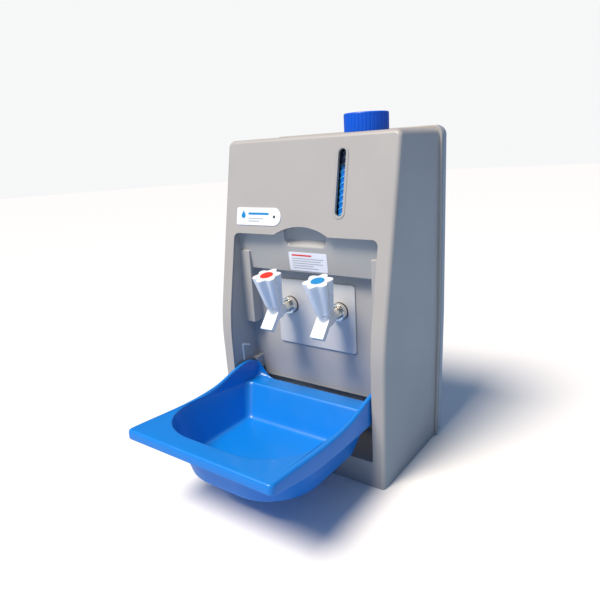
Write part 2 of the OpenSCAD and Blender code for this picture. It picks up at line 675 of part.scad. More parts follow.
// ---- Waste side ----
waste_w = half_at(screw_zs[0]) - wall - 2 * boss_r;
waste_top = 36;
module waste_outline(d) polygon([
    [wall + 4 + d, wall + 1 + d], [wall + 4 + d, waste_top - d], [tank_y + d, waste_top - d],
    [tank_y + d, 180 - d], [tank_back - d, 180 - d], [tank_back - d, wall + 1 + d]]);
module waste_tank() color([0.85, 0.87, 0.88]) from_front() difference() {
    union() {
        across(2 * waste_w) waste_outline(0);
        rod_x(drain_r, -drain_face - 8, -waste_w + 1, drain_y, drain_z);
    }
    across(2 * (waste_w - tank_t)) waste_outline(tank_t);
    rod_z(spigot_r + 0.5, waste_top - 2 * tank_t, waste_top + cut, 0, spigot_y);
    rod_x(drain_r - 3, -drain_face - 9, -waste_w + 2 * tank_t, drain_y, drain_z);
}
drain_face = half_at(drain_z) + 1;         // inner face of the drain cap
module drain_seal() color([0.15, 0.15, 0.15]) from_front() difference() {
    rod_x(drain_r, -drain_face - 9.5, -drain_face - 8, drain_y, drain_z);
    rod_x(drain_r - 3, -drain_face - 10.5, -drain_face - 7, drain_y, drain_z);
}
module drain_cap() color([0.12, 0.13, 0.15]) from_front()
    translate([-drain_face, drain_y, drain_z]) rotate([0, -90, 0])
        screw_cap(drain_r + 4, drain_r + gap, 12, 2.4, 18);

// ---- Taps ----
collar_l = 9;
gasket_t = 1.5;
stem_y = plate_y - gasket_t;              // shoulder of a stem, against its gasket
shank_end = panel_y + liner_t + 12;
socket_y = 33;                            // where a stem enters its valve body
// Repeats a ring about Y at both taps: outer radius r, bore b, from y0 to y1
module tap_rings(r, b, y0, y1) from_front() for (s = sides) difference() {
    rod_y(r, y0, y1, s * tap_x, tap_z);
    rod_y(b, y0 - cut, y1 + cut, s * tap_x, tap_z);
}
module tap_gaskets() color([0.08, 0.09, 0.12]) tap_rings(14, shank_r + 0.2, stem_y, plate_y);
module tap_collars() color([0.88, 0.84, 0.72])
    tap_rings(13.5, stem_r + 0.1, stem_y - collar_l, stem_y);
module tap_backnuts() color([0.8, 0.65, 0.3])
    tap_rings(12, shank_r + 0.1, panel_y + liner_t, panel_y + liner_t + 6);
// Plated stems with threaded shanks
module tap_stems() color([0.85, 0.86, 0.88]) from_front() for (s = sides) difference() {
    union() {
        rod_y(stem_r, socket_y, stem_y, s * tap_x, tap_z);
        rod_y(shank_r, stem_y - 1, shank_end, s * tap_x, tap_z);
    }
    rod_y(4, socket_y - cut, shank_end + cut, s * tap_x, tap_z);
}
// Valve body: chamber on the tilted axis, socket for the stem, and a flat spout
spout_l = 33;
spout_a = 50;
module valve_body(side) difference() {
    union() {
        on_tap(side) translate([0, 0, -9]) cylinder(r = 11, h = valve_h + 9);
        from_front() rod_y(stem_r + 1, valve_y, socket_y, side * tap_x, tap_z);
        on_spout(side) translate([-11, 0, -4]) cube([22, spout_l, 8]);
    }
    from_front() rod_y(4, valve_y, socket_y + cut, side * tap_x, tap_z);
    on_tap(side) translate([0, 0, -5]) cylinder(r = 4, h = 8);
    on_spout(side) translate([-7, 0, -2]) cube([14, spout_l + cut, 4]);
    on_tap(side) translate([0, 0, -2]) cylinder(r = spindle_r + run, h = valve_h + 3);
}
// At the root of a spout: Y runs along it, forward and down
module on_spout(side) from_front() translate([side * tap_x, valve_y - 2, tap_z + 1])
    rotate([180 + spout_a, 0, 0]) rotate([0, 180, 0]) children();
module hot_valve_body() color([0.95, 0.95, 0.94]) valve_body(-1);
module cold_valve_body() color([0.95, 0.95, 0.94]) valve_body(1);
module spindle(side) on_tap(side) cylinder(r = spindle_r, h = knob_z + 34);
module hot_spindle() color([0.8, 0.66, 0.35]) spindle(-1);
module cold_spindle() color([0.8, 0.66, 0.35]) spindle(1);
// Star knob: a cone with six lobes that grow towards the top
lobes = 6;
lobe_r = 5.5;
lobe_a = atan((knob_r - lobe_r - knob_foot_r + 4) / knob_h);   // outward lean of a lobe
module knob(side) on_tap(side) difference() {
    union() {
        translate([0, 0, knob_z]) cylinder(r1 = knob_foot_r - 2, r2 = knob_r - 6, h = knob_h);
        intersection() {
            translate([0, 0, knob_z]) cylinder(r = knob_r + cut, h = knob_h);
            for (i = [0:lobes - 1]) rotate(360 * i / lobes + 30) translate([knob_foot_r - 4, 0, knob_z])
                rotate([0, lobe_a, 0]) translate([0, 0, -3])
                    cylinder(r1 = 3.9, r2 = lobe_r, h = knob_h + 8);
        }
    }
    cylinder(r = spindle_r, h = knob_z + 34);
    translate([0, 0, knob_top - 1.2]) cylinder(r = disc_r + 0.1, h = 3);
}
module hot_knob() color([0.95, 0.95, 0.96]) knob(-1);
module cold_knob() color([0.95, 0.95, 0.96]) knob(1);
module knob_disc(side) on_tap(side) translate([0, 0, knob_top - 1.2]) cylinder(r = disc_r, h = 1.5);
module hot_disc() color([0.9, 0.2, 0.08]) knob_disc(-1);
module cold_disc() color([0.04, 0.55, 0.82]) knob_disc(1);

front_housing();
screw_posts();
rear_cover();
cover_screws();
wall_inserts();
recess_liner();
tap_plate();
info_label();
side_clips();
hinge_pins();
hinge_bushes();
basin();
sight_bezel();
level_tube();
badge();
status_led();
fresh_tank();
filler_seal();
filler_cap();
tank_shelf();
hot_tank();
heating_element();
thermostat();
feed_pipe();
hot_pipe();
cold_pipe();
terminal_box();
power_inlet();
inlet_nut();
waste_tank();
drain_seal();
drain_cap();
tap_gaskets();
tap_collars();
tap_stems();
tap_backnuts();
hot_valve_body();
cold_valve_body();
hot_spindle();
cold_spindle();
hot_knob();
cold_knob();
hot_disc();
cold_disc();
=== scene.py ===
# %% [markdown]
# # A hand-wash unit in Blender
#
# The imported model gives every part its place. This script keeps those places and works on how
# the parts look: moulded edges, the rolled basin, the star knobs, and the plastics and metals.
# All lengths are in metres, +Z is up and the front of the unit faces -Y.

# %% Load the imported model
import json
import math

import bmesh
import bpy
from mathutils import Matrix, Vector

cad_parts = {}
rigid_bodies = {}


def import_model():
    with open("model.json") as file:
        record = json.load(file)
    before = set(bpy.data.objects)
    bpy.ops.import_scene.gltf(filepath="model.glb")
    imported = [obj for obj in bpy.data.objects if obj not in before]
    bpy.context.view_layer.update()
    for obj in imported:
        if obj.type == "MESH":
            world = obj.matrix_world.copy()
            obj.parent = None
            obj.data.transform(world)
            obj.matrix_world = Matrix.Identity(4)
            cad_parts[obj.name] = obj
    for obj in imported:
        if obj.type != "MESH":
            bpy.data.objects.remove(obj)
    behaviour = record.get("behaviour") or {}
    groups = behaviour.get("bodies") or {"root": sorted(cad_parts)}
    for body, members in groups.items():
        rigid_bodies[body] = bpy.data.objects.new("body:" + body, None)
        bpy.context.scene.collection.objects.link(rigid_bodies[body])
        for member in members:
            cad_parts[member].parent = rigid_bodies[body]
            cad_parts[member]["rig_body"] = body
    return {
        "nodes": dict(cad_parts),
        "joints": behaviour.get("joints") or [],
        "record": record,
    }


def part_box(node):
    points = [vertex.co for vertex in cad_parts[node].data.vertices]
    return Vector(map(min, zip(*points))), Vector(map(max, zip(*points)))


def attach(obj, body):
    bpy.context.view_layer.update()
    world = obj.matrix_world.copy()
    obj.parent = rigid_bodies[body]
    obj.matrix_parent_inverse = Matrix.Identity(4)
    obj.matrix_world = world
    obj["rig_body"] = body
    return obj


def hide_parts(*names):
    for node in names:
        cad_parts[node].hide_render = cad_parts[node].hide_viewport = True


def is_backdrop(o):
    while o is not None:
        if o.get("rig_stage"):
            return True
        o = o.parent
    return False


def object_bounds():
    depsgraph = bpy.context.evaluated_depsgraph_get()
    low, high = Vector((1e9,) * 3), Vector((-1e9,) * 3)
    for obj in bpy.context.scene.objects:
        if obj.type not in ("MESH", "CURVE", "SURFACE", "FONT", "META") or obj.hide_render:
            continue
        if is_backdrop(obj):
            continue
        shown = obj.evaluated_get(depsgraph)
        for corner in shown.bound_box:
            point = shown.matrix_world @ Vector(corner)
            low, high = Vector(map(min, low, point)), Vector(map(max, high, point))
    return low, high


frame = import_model()
cad_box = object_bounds()
nodes = frame["nodes"]
scene = bpy.context.scene
MM = 0.001

# %% [markdown]
# ## Sizes
# The visible shells are made again with soft edges, so the script needs the sizes that they
# were drawn with. Those that a node's box gives are read from the frame. The others are the
# mould's own wall thicknesses and radii.

# %% Sizes from the frame
housing_lo, housing_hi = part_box("front_housing")
cover_lo, cover_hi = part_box("rear_cover")
liner_lo, liner_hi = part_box("recess_liner")
basin_lo, basin_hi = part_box("basin")
joints = {joint["name"]: joint for joint in frame["joints"]}

RIM_OUT = 4.5 * MM
WALL = 3 * MM
LINER_T = 2.5 * MM
FRONT = housing_lo[1]
BODY_W = housing_hi[0] - housing_lo[0] - 2 * RIM_OUT
BODY_H = housing_hi[2] - RIM_OUT
SHELL_BACK = housing_hi[1]
RIM_W = 4 * MM
print("housing: %.0f x %.0f mm, front at %.3f" % (BODY_W / MM, BODY_H / MM, FRONT))

# %% [markdown]
# The front rises straight, bends, and then leans back. Each side draws in a little towards the
# base. Two functions say this once, and every shell that follows the front uses them.

# %% The front's lean and the sides' draft
BEND_H = 216 * MM
BLEND_H = 34 * MM
LEAN = 57 * MM
BASE_IN = 4 * MM
SLOPE = LEAN / (BODY_H - BEND_H)
LEAN_ANGLE = math.atan(SLOPE)


def front_at(z):
    """Depth of the front face behind the front plane at height z."""
    if z <= BEND_H - BLEND_H:
        return 0.0
    if z >= BEND_H + BLEND_H:
        return SLOPE * (z - BEND_H)
    return SLOPE * (z - BEND_H + BLEND_H) ** 2 / (4 * BLEND_H)


def half_at(z):
    """Half width of the housing at height z."""
    return BODY_W / 2 - BASE_IN * max(0.0, 1 - z / BEND_H)


def on_slope(x, z):
    """Matrix of a point on the leaning front: -Y leaves the face and Z runs up it."""
    place = Matrix.Translation((x, FRONT + SLOPE * (z - BEND_H), z))
    return place @ Matrix.Rotation(-LEAN_ANGLE, 4, "X")


# %% [markdown]
# ## Camera, floor and light
# The camera stands to the right of the unit, a little above the taps, with a normal lens. A warm
# sun with soft edges lights the front from above, a softbox helps it, and a cool sky and floor
# fill the shade, so the front is pale and the right side is blue-grey.

# %% Camera
CAMERA_AT = Vector((0.4645, -0.7043, 0.4787))
CAMERA_YAW = -0.640
CAMERA_PITCH = 0.271
CAMERA_ROLL = -0.060
LENS = 32.52


def add_camera():
    """Camera from its place, its yaw and pitch, and a small roll."""
    forward = Vector((math.sin(CAMERA_YAW) * math.cos(CAMERA_PITCH),
                      math.cos(CAMERA_YAW) * math.cos(CAMERA_PITCH),
                      -math.sin(CAMERA_PITCH)))
    level = Vector((math.cos(CAMERA_YAW), -math.sin(CAMERA_YAW), 0))
    above = level.cross(forward)
    right = level * math.cos(CAMERA_ROLL) + above * math.sin(CAMERA_ROLL)
    up = above * math.cos(CAMERA_ROLL) - level * math.sin(CAMERA_ROLL)
    turn = Matrix((right, up, -forward)).transposed().to_4x4()
    data = bpy.data.cameras.new("camera")
    data.lens = LENS
    data.sensor_width = 36
    camera = bpy.data.objects.new("camera", data)
    camera.matrix_world = Matrix.Translation(CAMERA_AT) @ turn
    scene.collection.objects.link(camera)
    scene.camera = camera


add_camera()

# %% Floor and lights
FLOOR_REACH = 9.0
FLOOR_SEEN = (0.90, 0.89, 0.87)
FLOOR_BOUNCE = (0.42, 0.56, 0.74)


def plain_material(name, colour, roughness):
    """Node material with one Principled shader."""
    material = bpy.data.materials.new(name)
    material.use_nodes = True
    shader = material.node_tree.nodes["Principled BSDF"]
    shader.inputs["Base Color"].default_value = (*colour, 1)
    shader.inputs["Roughness"].default_value = roughness
    return material


def floor_material():
    """Floor that the camera sees pale, and that throws a cooler light back."""
    material = plain_material("pale floor", FLOOR_SEEN, 0.8)
    tree = material.node_tree
    path = tree.nodes.new("ShaderNodeLightPath")
    mix = tree.nodes.new("ShaderNodeMix")
    mix.data_type = "RGBA"
    mix.inputs["A"].default_value = (*FLOOR_BOUNCE, 1)
    mix.inputs["B"].default_value = (*FLOOR_SEEN, 1)
    tree.links.new(path.outputs["Is Camera Ray"], mix.inputs["Factor"])
    shader = tree.nodes["Principled BSDF"]
    tree.links.new(mix.outputs["Result"], shader.inputs["Base Color"])
    return material


def add_floor():
    """Round pale floor that runs out to the horizon."""
    bm = bmesh.new()
    bmesh.ops.create_circle(bm, cap_ends=True, segments=96, radius=FLOOR_REACH)
    mesh = bpy.data.meshes.new("floor")
    bm.to_mesh(mesh)
    bm.free()
    floor = bpy.data.objects.new("floor", mesh)
    mesh.materials.append(floor_material())
    scene.collection.objects.link(floor)
    floor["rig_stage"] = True


def add_light(name, place, target, size, power, colour):
    """Square softbox at place, aimed at target."""
    data = bpy.data.lights.new(name, "AREA")
    data.size = size
    data.energy = power
    data.color = colour
    light = bpy.data.objects.new(name, data)
    aim = (Vector(target) - Vector(place)).to_track_quat("-Z", "Y")
    light.matrix_world = Matrix.Translation(place) @ aim.to_matrix().to_4x4()
    scene.collection.objects.link(light)


def add_world(sky, seen, strength):
    """World that lights with one colour and shows another to the camera."""
    world = bpy.data.worlds.new("studio")
    world.use_nodes = True
    tree = world.node_tree
    light = tree.nodes["Background"]
    light.inputs["Color"].default_value = (*sky, 1)
    light.inputs["Strength"].default_value = strength
    paper = tree.nodes.new("ShaderNodeBackground")
    paper.inputs["Color"].default_value = (*seen, 1)
    path = tree.nodes.new("ShaderNodeLightPath")
    mix = tree.nodes.new("ShaderNodeMixShader")
    tree.links.new(path.outputs["Is Camera Ray"], mix.inputs["Fac"])
    tree.links.new(light.outputs["Background"], mix.inputs[1])
    tree.links.new(paper.outputs["Background"], mix.inputs[2])
    tree.links.new(mix.outputs["Shader"], tree.nodes["World Output"].inputs["Surface"])
    scene.world = world


add_floor()
MIDDLE = (0, -0.05, 0.27)
SUN_FROM = Vector((-0.20, -0.66, 1.12))
SUN_POWER = 3.9
SUN_SPREAD = 22
sun_data = bpy.data.lights.new("sky light", "SUN")
sun_data.energy = SUN_POWER
sun_data.angle = math.radians(SUN_SPREAD)
sun_data.color = (1.0, 0.90, 0.78)
sun = bpy.data.objects.new("sky light", sun_data)
sun.matrix_world = (-SUN_FROM).to_track_quat("-Z", "Y").to_matrix().to_4x4()
scene.collection.objects.link(sun)
add_light("softbox", (-0.55, -1.25, 1.75), MIDDLE, 0.9, 9, (1.0, 0.98, 0.95))
add_world((0.42, 0.62, 1.0), (0.93, 0.935, 0.94), 0.34)
scene.view_settings.view_transform = "Standard"

# %% [markdown]
# ## Materials
# Moulded plastic is never one flat colour. It has a fine grain from the mould, faint cloudy
# mottling, and a film of handling marks that changes its gloss. Two node groups make these
# effects once, and each material places them with its own values.


# %% Node groups for grain and smudges
def group_with(name, inputs, outputs):
    """Empty shader node group with float inputs (name, default) and float outputs."""
    group = bpy.data.node_groups.new(name, "ShaderNodeTree")
    for label, value in inputs:
        socket = group.interface.new_socket(name=label, in_out="INPUT", socket_type="NodeSocketFloat")
        socket.default_value = value
    for label in outputs:
        group.interface.new_socket(name=label, in_out="OUTPUT", socket_type="NodeSocketFloat")
    start = group.nodes.new("NodeGroupInput")
    end = group.nodes.new("NodeGroupOutput")
    return group, start, end


def add_noise(tree, coords, scale_socket, detail, roughness=0.5):
    """Noise texture on object coordinates, with its scale from a socket."""
    noise = tree.nodes.new("ShaderNodeTexNoise")
    noise.inputs["Detail"].default_value = detail
    noise.inputs["Roughness"].default_value = roughness
    tree.links.new(coords.outputs["Object"], noise.inputs["Vector"])
    tree.links.new(scale_socket, noise.inputs["Scale"])
    return noise.outputs["Fac"]


def build_grain():
    """Mould grain: a fine height, and slow mottling of the colour."""
    tree, start, end = group_with(
        "mould grain", [("Grain Scale", 900.0), ("Mottle Scale", 14.0)], ["Height", "Mottle"])
    coords = tree.nodes.new("ShaderNodeTexCoord")
    fine = add_noise(tree, coords, start.outputs["Grain Scale"], 2.0, 0.6)
    slow = add_noise(tree, coords, start.outputs["Mottle Scale"], 4.0)
    tree.links.new(fine, end.inputs["Height"])
    tree.links.new(slow, end.inputs["Mottle"])
    return tree


def build_smudge():
    """Handling marks: patches where the surface is a little rougher."""
    tree, start, end = group_with("handling marks", [("Scale", 22.0), ("Amount", 0.5)], ["Mask"])
    coords = tree.nodes.new("ShaderNodeTexCoord")
    patches = add_noise(tree, coords, start.outputs["Scale"], 6.0, 0.65)
    ramp = tree.nodes.new("ShaderNodeMapRange")
    ramp.inputs["From Min"].default_value = 0.45
    ramp.inputs["From Max"].default_value = 0.75
    tree.links.new(patches, ramp.inputs["Value"])
    scaled = tree.nodes.new("ShaderNodeMath")
    scaled.operation = "MULTIPLY"
    tree.links.new(ramp.outputs["Result"], scaled.inputs[0])
    tree.links.new(start.outputs["Amount"], scaled.inputs[1])
    tree.links.new(scaled.outputs[0], end.inputs["Mask"])
    return tree


grain_group = build_grain()
smudge_group = build_smudge()


# %% Plastics
def moulded(name, colour, roughness, grain=0.10, mottle=0.06, marks=0.08, grain_scale=900.0,
            coat=0.0, subsurface=0.0):
    """Moulded plastic: grain in the surface, mottled colour and a changing gloss."""
    material = plain_material(name, colour, roughness)
    tree = material.node_tree
    shader = tree.nodes["Principled BSDF"]
    shader.inputs["Coat Weight"].default_value = coat
    shader.inputs["Coat Roughness"].default_value = 0.06
    shader.inputs["Subsurface Weight"].default_value = subsurface
    shader.inputs["Subsurface Scale"].default_value = 2 * MM
    texture = tree.nodes.new("ShaderNodeGroup")
    texture.node_tree = grain_group
    texture.inputs["Grain Scale"].default_value = grain_scale
    smudge = tree.nodes.new("ShaderNodeGroup")
    smudge.node_tree = smudge_group
    smudge.inputs["Amount"].default_value = marks
    mix = tree.nodes.new("ShaderNodeMix")
    mix.data_type = "RGBA"
    mix.inputs["A"].default_value = (*[c * (1 - mottle) for c in colour], 1)
    mix.inputs["B"].default_value = (*[min(1, c * (1 + mottle)) for c in colour], 1)
    tree.links.new(texture.outputs["Mottle"], mix.inputs["Factor"])
    tree.links.new(mix.outputs["Result"], shader.inputs["Base Color"])
    gloss = tree.nodes.new("ShaderNodeMath")
    gloss.operation = "ADD"
    gloss.inputs[1].default_value = roughness
    tree.links.new(smudge.outputs["Mask"], gloss.inputs[0])
    tree.links.new(gloss.outputs[0], shader.inputs["Roughness"])
    bump = tree.nodes.new("ShaderNodeBump")
    bump.inputs["Strength"].default_value = grain
    bump.inputs["Distance"].default_value = 0.1 * MM
    tree.links.new(texture.outputs["Height"], bump.inputs["Height"])
    tree.links.new(bump.outputs["Normal"], shader.inputs["Normal"])
    return material


def metal(name, colour, roughness, brush_scale=400.0, strength=0.12):
    """Plated or drawn metal: fine brushing in the surface and in the gloss."""
    material = moulded(name, colour, roughness, grain=strength, mottle=0.04, marks=0.10,
                       grain_scale=brush_scale)
    material.node_tree.nodes["Principled BSDF"].inputs["Metallic"].default_value = 1.0
    return material


finishes = {
    "housing_plastic": moulded("housing plastic", (0.425, 0.40, 0.375), 0.42, coat=0.05),
    "cover_plastic": moulded("cover plastic", (0.40, 0.42, 0.44), 0.45),
    "liner_plastic": moulded("liner plastic", (0.43, 0.42, 0.405), 0.38, coat=0.1),
    "panel_plastic": moulded("panel plastic", (0.60, 0.60, 0.60), 0.28, grain=0.04, coat=0.3),
    "basin_plastic": moulded("basin plastic", (0.0, 0.20, 0.66), 0.36, grain=0.03, mottle=0.05,
                             marks=0.10, coat=0.25),
    "cap_plastic": moulded("cap plastic", (0.0, 0.10, 0.68), 0.34, grain=0.06, coat=0.2),
    "tap_plastic": moulded("tap plastic", (0.86, 0.87, 0.88), 0.24, grain=0.03, mottle=0.02,
                           coat=0.4, subsurface=0.05),
    "red_disc": moulded("red disc", (0.78, 0.028, 0.006), 0.35, grain=0.02, coat=0.1),
    "blue_disc": moulded("blue disc", (0.0, 0.24, 0.58), 0.35, grain=0.02, coat=0.1),
    "plated_metal": metal("plated metal", (0.86, 0.82, 0.74), 0.18),
    "stainless": metal("stainless", (0.66, 0.66, 0.67), 0.26, brush_scale=700.0),
    "brass": metal("brass", (0.70, 0.50, 0.22), 0.30),
    "black_rubber": moulded("black rubber", (0.018, 0.018, 0.020), 0.65, grain=0.25),
    "bush_plastic": moulded("bush plastic", (0.84, 0.84, 0.80), 0.35),
    "tank_plastic": moulded("tank plastic", (0.74, 0.78, 0.80), 0.42, subsurface=0.3),
    "tube_plastic": moulded("tube plastic", (0.01, 0.16, 0.60), 0.22, grain=0.03, coat=0.4),
    "black_plastic": moulded("black plastic", (0.02, 0.021, 0.024), 0.40),
    "label_film": moulded("label film", (0.84, 0.86, 0.92), 0.30, grain=0.02, coat=0.3),
    "pale_plastic": moulded("pale plastic", (0.40, 0.38, 0.36), 0.40, grain=0.05),
    "hose_rubber": moulded("hose rubber", (0.45, 0.46, 0.47), 0.55, grain=0.2),
}
print("finishes:", len(finishes))

# %% [markdown]
# Every node that stays as it is gets the finish of its own material slot. A node's mesh is
# loose triangles, so flat shading keeps its faces true.

# %% Finishes on the nodes
slot_of = {part["node"]: part["material_slot"] for part in frame["record"]["subparts"]}


def finish_node(name):
    """Puts the slot's material on a node."""
    mesh = nodes[name].data
    mesh.materials.clear()
    mesh.materials.append(finishes[slot_of[name]])


for name in nodes:
    finish_node(name)
print("finished nodes:", len(nodes))

# %% [markdown]
# ## Making pieces
# A new piece is drawn in a bmesh, becomes an object at the origin, takes its slot's finish and
# rides on its body. Holes are cut with a Boolean modifier whose cutter is thrown away at once,
# so the piece that is left is one plain mesh.


# %% Helpers for new pieces
def to_object(name, bm):
    """Object at the origin that holds the bmesh."""
    mesh = bpy.data.meshes.new(name)
    bm.to_mesh(mesh)
    bm.free()
    piece = bpy.data.objects.new(name, mesh)
    scene.collection.objects.link(piece)
    return piece


def apply_modifiers(piece):
    """Replaces the piece's mesh by what its modifiers make of it."""
    graph = bpy.context.evaluated_depsgraph_get()
    mesh = bpy.data.meshes.new_from_object(piece.evaluated_get(graph))
    piece.modifiers.clear()
    old = piece.data
    piece.data = mesh
    bpy.data.meshes.remove(old)


def combine(piece, other_bm, operation="DIFFERENCE"):
    """Boolean of the piece with a bmesh, applied at once."""
    other = to_object("tool", other_bm)
    modifier = piece.modifiers.new("cut", "BOOLEAN")
    modifier.operation = operation
    modifier.solver = "EXACT"
    modifier.object = other
    apply_modifiers(piece)
    bpy.data.objects.remove(other)


def round_edges(piece, width, segments=3, angle=40):
    """Rounds every edge sharper than the angle."""
    modifier = piece.modifiers.new("round", "BEVEL")
    modifier.width = width
    modifier.segments = segments
    modifier.limit_method = "ANGLE"
    modifier.angle_limit = math.radians(angle)
    modifier.use_clamp_overlap = True
    modifier.harden_normals = False
    modifier.miter_outer = "MITER_ARC"
    apply_modifiers(piece)


def settle(piece, slot, body="housing", replaces=(), smooth=38):
    """Shades the piece, gives it its finish and puts it on its body."""
    mesh = piece.data
    mesh.materials.clear()
    mesh.materials.append(finishes[slot])
    for face in mesh.polygons:
        face.use_smooth = True
    mesh.set_sharp_from_angle(angle=math.radians(smooth))
    weighted = piece.modifiers.new("even shading", "WEIGHTED_NORMAL")
    weighted.keep_sharp = True
    if replaces:
        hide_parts(*replaces)
    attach(piece, body)
    return piece


def face_of(bm, points):
    """One face through a list of points."""
    return bm.faces.new([bm.verts.new(p) for p in points])


def prism(points, along):
    """Closed solid: a flat outline pushed along a vector."""
    bm = bmesh.new()
    face = face_of(bm, points)
    result = bmesh.ops.extrude_face_region(bm, geom=[face])["geom"]
    moved = [g for g in result if isinstance(g, bmesh.types.BMVert)]
    bmesh.ops.translate(bm, verts=moved, vec=along)
    bmesh.ops.recalc_face_normals(bm, faces=bm.faces)
    return bm


def arc(centre, radius, start, end, steps):
    """Points of an arc in the plane, angles in degrees."""
    angles = [math.radians(start + (end - start) * i / steps) for i in range(steps + 1)]
    return [(centre[0] + radius * math.cos(a), centre[1] + radius * math.sin(a)) for a in angles]


def round_rod(radius, length, place, segments=48):
    """Cylinder bmesh whose axis is the local Z of the matrix, from its origin."""
    bm = bmesh.new()
    matrix = place @ Matrix.Translation((0, 0, length / 2))
    bmesh.ops.create_cone(bm, cap_ends=True, segments=segments, radius1=radius, radius2=radius,
                          depth=length, matrix=matrix)
    return bm


ALONG_Y = Matrix.Rotation(math.radians(-90), 4, "X")
ALONG_X = Matrix.Rotation(math.radians(90), 4, "Y")
print("helpers ready")

# %% [markdown]
# ## Front housing
# The housing is one deep moulding. A block with the housing's side outline is pushed across its
# width, drawn in at the base, and its long front edges are beveled while it is still simple:
# that gives clean round corners. Only then is it hollowed and are its openings cut, and the
# fresh edges of the cuts are rounded by angle.

# %% Blocks with the housing's outline
BEND_STEPS = 10


def housing_block(inset, back, corner, edge):
    """Solid inside the housing's outer faces, from the front to y = back."""
    top = BODY_H - inset
    bends = [BEND_H - BLEND_H + 2 * BLEND_H * i / BEND_STEPS for i in range(BEND_STEPS + 1)]
    side = [(back, inset), (FRONT + inset, inset)]
    side += [(FRONT + front_at(z) + inset, z) for z in bends]
    side += [(FRONT + front_at(top) + inset / math.cos(LEAN_ANGLE), top), (back, top)]
    width = BODY_W - 2 * inset
    bm = prism([(-width / 2, y, z) for y, z in side], (width, 0, 0))
    bmesh.ops.bisect_plane(bm, geom=bm.verts[:] + bm.edges[:] + bm.faces[:],
                           plane_co=(0, 0, BEND_H), plane_no=(0, 0, 1), dist=1e-6)
    for vert in bm.verts:
        vert.co.x *= (half_at(vert.co.z) - inset) / (BODY_W / 2 - inset)
    if corner:
        bevel_where(bm, corner, 8, lambda e: abs(direction(e).y) > 0.99
                    and min(v.co.z for v in e.verts) > top - 1e-5)
    if edge:
        bevel_where(bm, edge, 5, lambda e: is_front_border(e))
    return bm


def direction(edge):
    """Unit vector along an edge."""
    return (edge.verts[1].co - edge.verts[0].co).normalized()


def is_front_border(edge):
    """True where the front meets a side or the top."""
    if len(edge.link_faces) != 2 or min(v.co.z for v in edge.verts) < 1e-4 > abs(direction(edge).z):
        return False
    tilts = sorted(face.normal.y for face in edge.link_faces)
    return tilts[0] < -0.6 and tilts[1] > -0.4


def bevel_where(bm, offset, segments, test):
    """Bevels the edges that pass a test."""
    bm.normal_update()
    picked = [e for e in bm.edges if test(e)]
    bmesh.ops.bevel(bm, geom=picked, offset=offset, segments=segments, affect="EDGES",
                    profile=0.5, material=-1, clamp_overlap=False)
    bmesh.ops.recalc_face_normals(bm, faces=bm.faces)


# %% Openings
RECESS_W = liner_hi[0] - liner_lo[0] - 16 * MM
RECESS_BOTTOM = 40 * MM
RECESS_TOP = 357 * MM
RECESS_R = 9 * MM
NOTCH_W = 97 * MM
NOTCH_H = 13 * MM


def opening_outline():
    """Recess opening seen from the front, with the finger notch in its upper edge."""
    half = RECESS_W / 2
    radius = (NOTCH_W ** 2 / 4 + NOTCH_H ** 2) / (2 * NOTCH_H)
    reach = math.degrees(math.asin(NOTCH_W / 2 / radius))
    notch = arc((0, RECESS_TOP + NOTCH_H - radius), radius, 90 - reach, 90 + reach, 14)
    points = [(-half, RECESS_BOTTOM), (half, RECESS_BOTTOM)]
    points += arc((half - RECESS_R, RECESS_TOP - RECESS_R), RECESS_R, 0, 90, 8)
    points += notch
    points += arc((-half + RECESS_R, RECESS_TOP - RECESS_R), RECESS_R, 90, 180, 8)
    return points


def slot_outline(width, height):
    """Upright slot with round ends, from z = 0 to its height."""
    r = width / 2
    return arc((0, height - r), r, 0, 180, 12) + arc((0, r), r, 180, 360, 12)


SIGHT_X = 64 * MM
SIGHT_Z = 385 * MM
SIGHT_W = 15 * MM
SIGHT_H = (478 - 385) * MM / math.cos(LEAN_ANGLE)
neck = Vector(joints["filler_cap_turn"]["pos_m"])
NECK_R = 28 * MM
drain = Vector(joints["drain_cap_turn"]["pos_m"])
inlet_lo, inlet_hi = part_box("power_inlet")
DRAIN_HOLE_R = 16 * MM
INLET_HOLE_R = 11.3 * MM

# %% Front housing
housing = to_object("front_housing_shell", housing_block(0, SHELL_BACK, 10 * MM, 6 * MM))
combine(housing, housing_block(WALL, SHELL_BACK + 1 * MM, 7 * MM, 3 * MM))
opening = prism([(x, FRONT - 5 * MM, z) for x, z in opening_outline()], (0, 50 * MM, 0))
combine(housing, opening)
slot = prism([(x, -5 * MM, z) for x, z in slot_outline(SIGHT_W, SIGHT_H)], (0, 15 * MM, 0))
bmesh.ops.transform(slot, matrix=on_slope(SIGHT_X, SIGHT_Z), verts=slot.verts)
combine(housing, slot)
neck_place = Matrix.Translation((neck.x, neck.y, BODY_H - 10 * MM))
combine(housing, round_rod(NECK_R + 2 * MM, 20 * MM, neck_place))
for centre, radius in ((drain, DRAIN_HOLE_R), ((inlet_lo + inlet_hi) / 2, INLET_HOLE_R)):
    hole_place = Matrix.Translation((-BODY_W / 2 - 10 * MM, centre.y, centre.z))
    combine(housing, round_rod(radius, 20 * MM, hole_place @ ALONG_X))
round_edges(housing, 1.3 * MM)
settle(housing, "housing_plastic", replaces=["front_housing"])
print("housing faces:", len(housing.data.polygons))


# %% Rear rim of the housing
def outline_at(grow, y, low):
    """Front outline of the housing, grown outwards, as points at depth y."""
    half = BODY_W / 2 + grow
    top = BODY_H + grow
    radius = 10 * MM + grow
    base = half_at(low) + grow
    points = [(-base, low), (base, low), (half, BEND_H)]
    points += arc((half - radius, top - radius), radius, 0, 90, 8)
    points += arc((-half + radius, top - radius), radius, 90, 180, 8)
    points += [(-half, BEND_H)]
    return [(x, y, z) for x, z in points]


